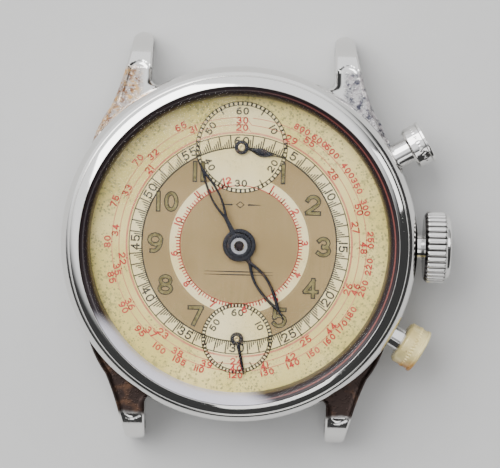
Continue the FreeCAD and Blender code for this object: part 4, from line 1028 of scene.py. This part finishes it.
@dataclass
class Dial:
    """The painted dial: films of paint and ink a few thousandths thick, laid one on another."""

    face: float = field(default_factory=lambda: node_high("dial"))
    film: float = 0.006
    khaki: float = 9.55
    track_outer: float = 10.8
    counter_y: float = 9.6
    counter_radius: float = 4.5
    seconds_y: float = -9.25
    seconds_radius: float = 3.5
    miles_inner: float = 5.8
    miles_outer: float = 6.85
    degrees_per_mile: float = 29.0
    spiral: tuple[float, ...] = (12.5, 11.8, 11.1)
    hour_tall: float = 1.62
    hour_pen: float = 0.46
    paint_pen: float = 0.26
    paint_end: float = 0.35
    paint_proud: float = 0.03
    numerals: Numerals = Numerals()

    def build(self) -> None:
        """Lay every film, ground first."""
        self.grounds()
        self.minute_track()
        self.small_dials()
        self.miles()
        self.speed_scale()
        self.hours()
        self.ornament()

    def levels(self, layer: int) -> tuple[float, float]:
        """Underside and top of a film."""
        return self.face - 0.01, self.face + self.film * (layer + 1)

    def film_piece(self, name: str, shells: Iterable[Shell], shade: "Shade") -> None:
        """One film as a piece on the case."""
        piece("dial_" + name, merged(shells), shade, "case")

    def grounds(self) -> None:
        """Cream ground, khaki middle, cream ring of the mile scale and the two small dials."""
        low, high = self.levels(0)
        self.film_piece("khaki", [ring(1.25, self.khaki, low, high)], Shade.KHAKI)
        low, high = self.levels(1)
        self.film_piece("miles_ground", [ring(self.miles_inner, self.miles_outer, low, high)],
                        Shade.CREAM_CLEAN)
        self.film_piece("track_ground", [ring(self.khaki, self.track_outer, low, high)], Shade.CREAM_CLEAN)
        low, high = self.levels(2)
        discs = [ring(0.3, self.counter_radius, low, high).moved(y=self.counter_y),
                 ring(0.3, self.seconds_radius, low, high).moved(y=self.seconds_y)]
        self.film_piece("small_dials", discs, Shade.CREAM_CLEAN)

    def minute_track(self) -> None:
        """Black minute track: two circles, a line each second, four rising fifths, and 5 to 60."""
        low, high = self.levels(3)
        second = np.arange(60)
        parts = [ring(self.khaki - 0.07, self.khaki + 0.07, low, high),
                 ring(self.track_outer - 0.05, self.track_outer + 0.05, low, high)]
        parts.append(ticks(second[second % 5 > 0] * 6, self.khaki, self.track_outer, 0.12, low, high))
        fifth = (second[:, None] + np.array([0.2, 0.4, 0.6, 0.8])).ravel()
        length = np.tile([0.28, 0.44, 0.62, 0.84], 60)
        clear = np.abs((fifth + 2.5) % 5 - 2.5) > 0.55
        parts.append(ticks(fifth[clear] * 6, self.khaki, self.khaki + length[clear], 0.11, low, high))
        for minute in range(5, 61, 5):
            number = self.numerals.written(str(minute), 0.76, 0.95, 0.15, low, high)
            parts.append(around(number, (self.khaki + self.track_outer) / 2 + 0.02, minute * 6))
        self.film_piece("minute_track", parts, Shade.BLACK)

    def chain(self, radius: float, y: float, texts: Sequence[int], tall: float) -> list[Shell]:
        """A small dial's chain track: two circles with sixty cross bars, longer ones, and its numbers."""
        low, high = self.levels(3)
        angle = np.arange(60) * 6.0
        parts = [ring(radius - 0.08, radius, low, high), ring(radius - 0.42, radius - 0.34, low, high),
                 ticks(angle, radius - 0.40, radius, 0.18, low, high),
                 ticks(np.array([5, 25, 35, 55]) * 6, radius - 0.85, radius, 0.12, low, high)]
        for value in texts:
            number = self.numerals.written(str(value), tall, 1.0, 0.14, low, high)
            parts.append(around(number, radius - 0.55 - tall / 2 - 0.12, value * 6))
        return [part.moved(y=y) for part in parts]

    def small_dials(self) -> None:
        """Chain tracks and numbers of the minute counter and of the small seconds."""
        upper = self.chain(self.counter_radius, self.counter_y, range(10, 61, 10), 0.58)
        lower = self.chain(self.seconds_radius, self.seconds_y, (60, 10, 50), 0.56)
        self.film_piece("small_tracks", upper + lower, Shade.BLACK)

    def miles(self) -> None:
        """Red mile scale: a circle, tenths, and 1 to 12."""
        low, high = self.levels(3)
        inner, step = self.miles_inner, self.degrees_per_mile
        tenth = np.arange(10, 121) * step / 10
        whole = np.arange(1, 13) * step
        parts = [ring(inner - 0.02, inner + 0.07, low, high),
                 ticks(tenth, inner, inner + 0.40, 0.12, low, high)]
        halves = (whole - step / 2)[1:]
        parts.append(ticks(halves, inner, inner + 0.56, 0.13, low, high))
        parts.append(ticks(whole, inner, inner + 0.40, 0.14, low, high))
        for mile in range(1, 13):
            number = self.numerals.written(str(mile), 0.54, 1.0, 0.15, low, high)
            parts.append(around(number, inner + 0.62, mile * step))
        self.film_piece("mile_scale", parts, Shade.RED)

    def speed_scale(self) -> None:
        """Red speed scale: three turns joined by slanting steps, each speed at 6 degrees x (3600 / speed)."""
        low, high = self.levels(3)
        parts, radius, angle = [], [], []
        for turn, here in enumerate(self.spiral):
            clock = np.linspace(4.6, 361.6, 150)
            radius.append(np.full(150, here))
            angle.append(clock + 360 * turn)
        radius, angle = np.concatenate(radius), np.radians(np.concatenate(angle))
        path = np.column_stack([radius * np.sin(angle), radius * np.cos(angle)])
        lines = [ribbon(path, 0.07, low, high),
                 ring(self.track_outer + 0.16, self.track_outer + 0.25, low, high)]
        self.film_piece("speed_lines", lines, Shade.PINK)
        speeds = [800, 600, 500, 400, 350, 300, 250, 220, 200, 180, 170, 160, 150, 140, 130, 120, 110,
                  *range(105, 64, -5), 55, 50, 48, 46, 44, *range(42, 19, -1)]
        for speed in speeds:
            lap = 3600 / speed / 60
            turn = min(int(lap - 1e-9), 2)
            clock = (lap - turn) * 360
            line = self.spiral[turn]
            tall = 0.50 if speed >= 100 else 0.56
            number = self.numerals.written(str(speed), tall, 0.98, 0.135, low, high)
            parts.append(around(number, line + 0.13 + tall / 2 + 0.02, clock))
            spot = ring(0.0, 0.08, low, high, 10).moved(y=line)
            parts.append(spot.spun(-math.radians(clock)))
        self.film_piece("speed_scale", parts, Shade.RED)

    def hours(self) -> None:
        """Upright hour numerals: a broad black stroke with old luminous paint laid down its middle."""
        low, high = self.levels(3)
        black, paint = [], []
        for hour in (1, 2, 3, 4, 5, 7, 8, 9, 10, 11):
            clock = math.radians(hour * 30)
            x, y = 8.25 * math.sin(clock), 8.2 * math.cos(clock)
            wide = 0.86 if hour >= 10 else 0.98
            outlined = self.numerals.written(str(hour), self.hour_tall, wide, self.hour_pen, low, high)
            black.append(outlined.moved(x, y))
            filled = self.painted(str(hour), wide, low, high + self.paint_proud)
            paint.append(filled.moved(x, y))
        self.film_piece("hour_outlines", black, Shade.BLACK)
        self.film_piece("hour_paint", paint, Shade.LUME)

    def painted(self, text: str, wide: float, low: float, high: float) -> Shell:
        """Paint of an hour, its figures spaced as the black outline's are."""
        spans = [0.0 if digit == "1" else 2 * self.numerals.half * self.hour_tall * wide for digit in text]
        step = 0.22 * self.hour_tall * wide + self.hour_pen
        at = -(sum(spans) + step * (len(text) - 1)) / 2
        parts = []
        for digit, span in zip(text, spans):
            figure = self.numerals.written(digit, self.hour_tall, wide, self.paint_pen, low, high,
                                           self.paint_end)
            parts.append(figure.moved(at + span / 2))
            at += span + step
        return merged(parts)

    def ornament(self) -> None:
        """Two plain ornaments on the khaki middle: a lozenge between rules, and a pair of rules."""
        low, high = self.levels(3)
        diamond = np.array([(0.0, -0.3), (0.38, 0.0), (0.0, 0.3), (-0.38, 0.0)])
        lozenge = ribbon(diamond, 0.1, low, high, True)
        rule = ribbon(np.array([(0.75, 0.0), (2.0, 0.0)]), np.array([0.16, 0.04]), low, high)
        both = [rule, rule.spun(math.pi)]
        upper = [part.moved(y=3.95) for part in [lozenge] + both]
        long = ribbon(np.array([(-3.4, 0.0), (0.0, 0.0), (3.4, 0.0)]), np.array([0.03, 0.13, 0.03]),
                      low, high)
        lower = [long.moved(y=-2.65), long.moved(y=-2.95)]
        self.film_piece("ornament", upper + lower, Shade.BLACK)


# ---------------------------------------------------------------- hands


@dataclass
class Hand:
    """One hand: a hub and a blade made along +Y, then turned to the clock angle it rests at."""

    node: str
    body: str
    clock: float
    hub: float
    bore: float
    reach: float
    centre_y: float = 0.0
    low: float = 0.0
    high: float = 0.0

    def __post_init__(self) -> None:
        """Read the hand's heights from its node."""
        self.low, self.high = node_low(self.node), node_high(self.node)

    def boss(self) -> Shell:
        """The hub: a turned washer with softened edges."""
        soft = (self.high - self.low) * 0.4
        outline = rounded([(self.bore, self.low), (self.hub, self.low, soft / 2), (self.hub, self.high, soft),
                           (self.bore, self.high, soft / 2)], steps=5)
        return lathe(outline, steps=96)

    def blade(self) -> list[Shell]:
        """The blade along +Y."""
        raise NotImplementedError

    def build(self) -> None:
        """Make the hand at rest."""
        shell = merged([self.boss()] + self.blade()).spun(-math.radians(self.clock)).moved(y=self.centre_y)
        piece(self.node + "_blade", shell, Shade.HAND, self.body, [self.node], crease=40)


@dataclass
class OpenLeaf(Hand):
    """A leaf hand with an open window: a stem, two rails that bow out and meet, and a needle point."""

    stem: float = 2.0
    widest: float = 4.3
    closing: float = 7.4
    bow: float = 0.6
    rail: float = 0.34

    def blade(self) -> list[Shell]:
        """Two rails, a root and a needle.

        The rails' distance from the middle rises as a quarter sine to the widest place, then falls as
        a cosine.
        """
        r = np.linspace(self.stem, self.closing, 44)
        rise = np.sin(np.clip((r - self.stem) / (self.widest - self.stem), 0, 1) * math.pi / 2)
        fall = np.cos(np.clip((r - self.widest) / (self.closing - self.widest), 0, 1) * math.pi / 2)
        out = self.bow * np.where(r < self.widest, rise, fall ** 0.9)
        width = self.rail * (1 - 0.25 * rise * fall)
        rails = [ribbon(np.column_stack([side * out, r]), width, self.low + drop, self.high - drop,
                        bevel=0.45)
                 for side, drop in ((-1, 0.006), (1, 0.012))]
        root = np.array([(0.0, self.bore + 0.05), (0.0, self.hub), (0.0, self.stem + 0.25)])
        needle = np.array([(0.0, self.closing - 0.25), (0.0, self.closing + 0.3), (0.0, self.reach)])
        low, high = self.low + 0.018, self.high - 0.018
        return rails + [ribbon(root, np.array([0.55, 0.5, 0.36]), low, high, bevel=0.4),
                        ribbon(needle, np.array([0.30, 0.24, 0.06]), low, high, bevel=0.4)]


@dataclass
class SolidLeaf(Hand):
    """A solid leaf hand with a ridge: narrow at the hub, widest past its middle, needle point."""

    width: float = 0.78

    def blade(self) -> list[Shell]:
        """The width is a needle's plus a bump of sine squared along the leaf."""
        r = np.linspace(self.bore + 0.05, self.reach, 40)
        share = np.clip((r - self.hub) / (0.8 * self.reach - self.hub), 0, 1)
        width = 0.10 + (self.width - 0.10) * np.sin(share * math.pi) ** 2 + 0.12 * (1 - share)
        width = width * np.clip((self.reach - r) / 0.5, 0.3, 1)
        return [ribbon(np.column_stack([0 * r, r]), width, self.low + 0.01, self.high - 0.01, bevel=0.7)]


@dataclass
class Baton(Hand):
    """A slim tapering hand."""

    def blade(self) -> list[Shell]:
        """One bar that narrows evenly."""
        r = np.array([self.bore + 0.05, self.hub, self.reach - 0.2, self.reach])
        return [ribbon(np.column_stack([0 * r, r]), np.array([0.36, 0.34, 0.24, 0.1]),
                       self.low + 0.01, self.high - 0.01, bevel=0.4)]


@dataclass
class HandSet:
    """The four hands, and the pivots that show in their hubs."""

    counter_y: float = 9.6
    seconds_y: float = -9.25

    def build(self) -> None:
        """Make the hands and their pivots."""
        for hand in (
            OpenLeaf("hour_hand", "hour", 147.7, 1.62, 1.17, 8.7),
            OpenLeaf("minute_hand", "centre", 333.0, 1.2, 0.8, 9.8, stem=2.9, widest=5.3, closing=8.1,
                     bow=0.42, rail=0.28),
            SolidLeaf("counter_hand", "counter", 103.4, 0.7, 0.2, 4.3, self.counter_y),
            Baton("seconds_hand", "seconds", 167.3, 0.65, 0.2, 3.6, self.seconds_y),
        ):
            hand.build()
        self.pivot("counter", "counter_hand", 0.35, self.counter_y)
        self.pivot("seconds", "seconds_hand", 0.28, self.seconds_y)
        # A dark cap on the chronograph wheel's arbor end, in the crystal wall's finish: painted shade in the
        # bore that the missing sweep hand leaves open.
        top = node_high("chronograph_wheel")
        seat = rounded([(0.0, top + 0.01), (0.44, top + 0.01, 0.01), (0.44, top - 0.15), (0.0, top - 0.15)],
                       closed=False, steps=3)
        piece("sweep_seat", lathe(seat, False, 48), Shade.EDGE, "chronograph_wheel")

    @staticmethod
    def pivot(body: str, node: str, radius: float, y: float) -> None:
        """A brass pipe pressed in a hub, with a domed end and a centre dimple."""
        top = node_high(node)
        outline = rounded([(0.0, top + 0.06), (0.08, top + 0.12, 0.02), (radius, top + 0.14, 0.06),
                           (radius, top - 0.1), (0.0, top - 0.1)], closed=False, steps=5)
        piece(node + "_pipe", lathe(outline, False, 48).moved(y=y), Shade.BRASS, body)


# ---------------------------------------------------------------- crown and pushers


def divided(outline: np.ndarray, step: float, beyond: float = -math.inf) -> np.ndarray:
    """A turned outline with its long edges divided, so that a pattern can be laid on them.

    Args:
        outline: Points (radius, height).
        step: About how long the new edges are.
        beyond: Edges that come closer to the axis than this stay whole.
    """
    fine = [outline[:1]]
    for here, there in zip(outline[:-1], outline[1:]):
        count = 1
        if min(here[0], there[0]) > beyond:
            count = max(1, int(np.linalg.norm(there - here) / step))
        fine.append(here + (there - here) * (np.arange(1, count + 1) / count)[:, None])
    return np.vstack(fine)


@dataclass
class Crown:
    """The fluted crown on its axis along +X."""

    base: float = field(default_factory=lambda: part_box("crown")[0].x / MM)
    tip: float = field(default_factory=lambda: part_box("crown")[1].x / MM)
    radius: float = field(default_factory=lambda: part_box("crown")[1].y / MM)
    height: float = 4.45
    flutes: int = 34
    depth: float = 0.26

    def build(self) -> None:
        """The crown: radius = outline - depth x (1 - |cos(flutes x turn / 2)|^0.55), faded at both ends."""
        outline = rounded([(0.0, self.base), (self.radius - 0.42, self.base, 0.08),
                           (self.radius, self.base + 0.32, 0.12), (self.radius, self.tip - 0.72, 0.14),
                           (self.radius - 0.34, self.tip - 0.5, 0.1),
                           (self.radius - 0.5, self.tip - 0.12, 0.3), (1.2, self.tip, 6.0),
                           (0.0, self.tip)], closed=False, steps=7)
        outline = divided(outline, 0.3)
        steps = self.flutes * 12
        wave = 1 - np.abs(np.cos(np.arange(steps) * TURN / steps * self.flutes / 2)) ** 0.55
        along = outline[:, 1]
        fade = np.clip((along - self.base) / 0.25, 0, 1) * np.clip((self.tip - 0.52 - along) / 0.2, 0, 1)
        fade = fade * (outline[:, 0] > self.radius - 0.5)
        relief = -self.depth * fade[:, None] * wave
        shell = lathe(outline, False, steps, relief).laid().moved(z=self.height)
        piece("fluted_crown", shell, Shade.CROWN, "crown", ["crown"], crease=38)
        tube = rounded([(0.95, 15.2), (1.2, 15.2), (1.2, 19.0, 0.06), (0.95, 19.0)])
        piece("crown_sleeve", lathe(tube, steps=72).laid().moved(z=self.height), Shade.STEEL, "case",
              ["crown_tube"])


@dataclass
class Pusher:
    """One chronograph pusher: a cap with a milled band on a plain neck, sliding in a tube."""

    name: str
    angle: float
    base: float
    radius: float
    shade: "Shade"
    slot: str
    tip: float = 21.1
    height: float = 4.2
    beads: int = 40
    bead: float = 0.07

    def build(self) -> None:
        """Make the cap, placed on its spoke."""
        self.cap()

    def placed(self, shell: Shell) -> Shell:
        """A shape made on the Z axis, laid on the pusher's spoke."""
        return shell.laid().spun(math.radians(self.angle)).moved(z=self.height)

    def cap(self) -> None:
        """The cap: radius = outline + bead x max(0, cos(beads x turn)) x a bell across the milled band."""
        end, r = self.tip, self.radius
        band = self.base + 0.52 * (end - self.base)
        corners = rounded([(0.0, self.base), (r - 0.35, self.base, 0.05), (r - 0.1, self.base + 0.22, 0.1),
                           (r - 0.1, end - 0.42, 0.04), (r, end - 0.34, 0.05), (r, end - 0.1, 0.08),
                           (r - 0.2, end, 0.06), (0.0, end)], closed=False, steps=5)
        outline = divided(corners, 0.06, r - 0.2)
        steps = self.beads * 10
        bell = np.exp(-((outline[:, 1] - band) / 0.13) ** 2) * (outline[:, 0] > r - 0.2)
        wave = np.cos(np.arange(steps) * TURN / steps * self.beads)
        shell = lathe(outline, False, steps, self.bead * bell[:, None] * wave)
        piece(self.name + "_cap", self.placed(shell), self.shade, self.name,
              [self.name + "_cap"], crease=45)


# ---------------------------------------------------------------- movement


@dataclass
class Movement:
    """Finishes of the pieces that keep their CAD shape: everything behind the dial, and the pipes."""

    nodes: dict = field(default_factory=lambda: frame["nodes"])

    def build(self) -> None:
        """Give each remaining node its finish, by the words in its name."""
        by_word = (
            (Shade.RUBY, ("jewels",)),
            (Shade.SPRING, ("hairspring", "mainspring", "screws", "click")),
            (Shade.GILT, ("wheel", "barrel", "movement_ring")),
            (Shade.NICKEL, ("bridge", "plate", "cock", "pillars", "posts", "studs")),
            (Shade.CREAM, ("dial",)),
            (Shade.TEMPERED, ("lever", "hammer", "fork", "spring", "pinion", "arbor", "column", "post")),
        )
        for name, node in self.nodes.items():
            fitting = (shade for shade, words in by_word if any(word in name for word in words))
            shade = next(fitting, Shade.STEEL)
            node.data.materials.clear()
            node.data.materials.append(shade.value.material())
        log.info("finishes on %d nodes", len(self.nodes))


# ---------------------------------------------------------------- studio


@dataclass
class Studio:
    """Pale floor, soft boxes and the camera."""

    distance: float = 0.280
    lens: float = 205.5
    aim: tuple[float, float, float] = (1.03, 1.08, 7.0)
    tilt: float = 5.5
    roll: float = 1.5

    def build(self) -> None:
        """Set the floor, the lights, the sky and the camera."""
        self.floor()
        self.box("key", (-0.30, 0.34, 0.46), 0.50, 4.6)
        self.box("fill", (0.10, -0.42, 0.55), 0.35, 0.7)
        self.box("strip", (0.50, 0.18, 0.30), 0.22, 0.4)
        self.sky()
        self.camera()

    def floor(self) -> None:
        """A broad sheet under the watch."""
        half, level = 1.2, CAD_BOX[0].z
        mesh = bpy.data.meshes.new("floor")
        corners = [(-half, -half, level), (half, -half, level), (half, half, level), (-half, half, level)]
        mesh.from_pydata(corners, [], [(0, 1, 2, 3)])
        mesh.materials.append(Shade.FLOOR.value.material())
        sheet = bpy.data.objects.new("floor", mesh)
        bpy.context.scene.collection.objects.link(sheet)

    @staticmethod
    def box(name: str, place: tuple[float, float, float], size: float, power: float) -> None:
        """A square soft box aimed at the watch."""
        light = bpy.data.lights.new(name, "AREA")
        light.shape, light.size, light.energy = "SQUARE", size, power
        obj = bpy.data.objects.new(name, light)
        obj.location = place
        obj.rotation_euler = obj.location.to_track_quat("Z", "Y").to_euler()
        bpy.context.scene.collection.objects.link(obj)

    @staticmethod
    def sky() -> None:
        """A sky brighter towards the upper left than the lower right."""
        world = bpy.data.worlds.new("studio")
        world.use_nodes = True
        tree = world.node_tree
        way = tree.nodes.new("ShaderNodeTexCoord")
        toward = tree.nodes.new("ShaderNodeVectorMath")
        toward.operation = "DOT_PRODUCT"
        toward.inputs[1].default_value = (-0.34, 0.72, 0.60)
        level = tree.nodes.new("ShaderNodeMapRange")
        level.interpolation_type = "SMOOTHSTEP"
        for index, value in enumerate((0.22, 0.62, 0.06, 1.6), start=1):
            level.inputs[index].default_value = value
        tree.nodes["Background"].inputs["Color"].default_value = (0.97, 0.98, 1.0, 1.0)
        tree.links.new(way.outputs["Generated"], toward.inputs[0])
        tree.links.new(toward.outputs["Value"], level.inputs[0])
        tree.links.new(level.outputs[0], tree.nodes["Background"].inputs["Strength"])
        bpy.context.scene.world = world

    def camera(self) -> None:
        """A long lens almost straight above, leaning to the 12 o'clock side and rolled a little."""
        lean, turn = math.radians(self.tilt), math.radians(self.roll)
        back = np.array([0.0, math.sin(lean), math.cos(lean)])
        up = np.array([-math.sin(turn), math.cos(turn), 0.0])
        up = up - back * (up @ back)
        up = up / np.linalg.norm(up)
        right = np.cross(up, back)
        place = np.array(self.aim) * MM + back * self.distance
        data = bpy.data.cameras.new("camera")
        data.lens, data.sensor_width, data.clip_start, data.clip_end = self.lens, 36.0, 0.005, 20.0
        obj = bpy.data.objects.new("camera", data)
        frame_rows = np.column_stack([right, up, back, place]).tolist()
        obj.matrix_world = Matrix(frame_rows + [[0.0, 0.0, 0.0, 1.0]])
        bpy.context.scene.collection.objects.link(obj)
        bpy.context.scene.camera = obj


def main() -> None:
    logging.basicConfig(level=logging.INFO, format="%(name)s %(message)s")
    Studio().build()
    Movement().build()
    for part in (
        Case(), CrystalGlass(), Dial(), HandSet(), Crown(),
        Pusher("start_pusher", 30.0, 19.15, 2.18, Shade.STEEL, "steel_polished", bead=0.02),
        Pusher("reset_pusher", -30.0, 18.85, 2.25, Shade.CAP, "brass_worn"),
    ):
        part.build()
        log.info("%s done", type(part).__name__)


if __name__ == "__main__":
    main()
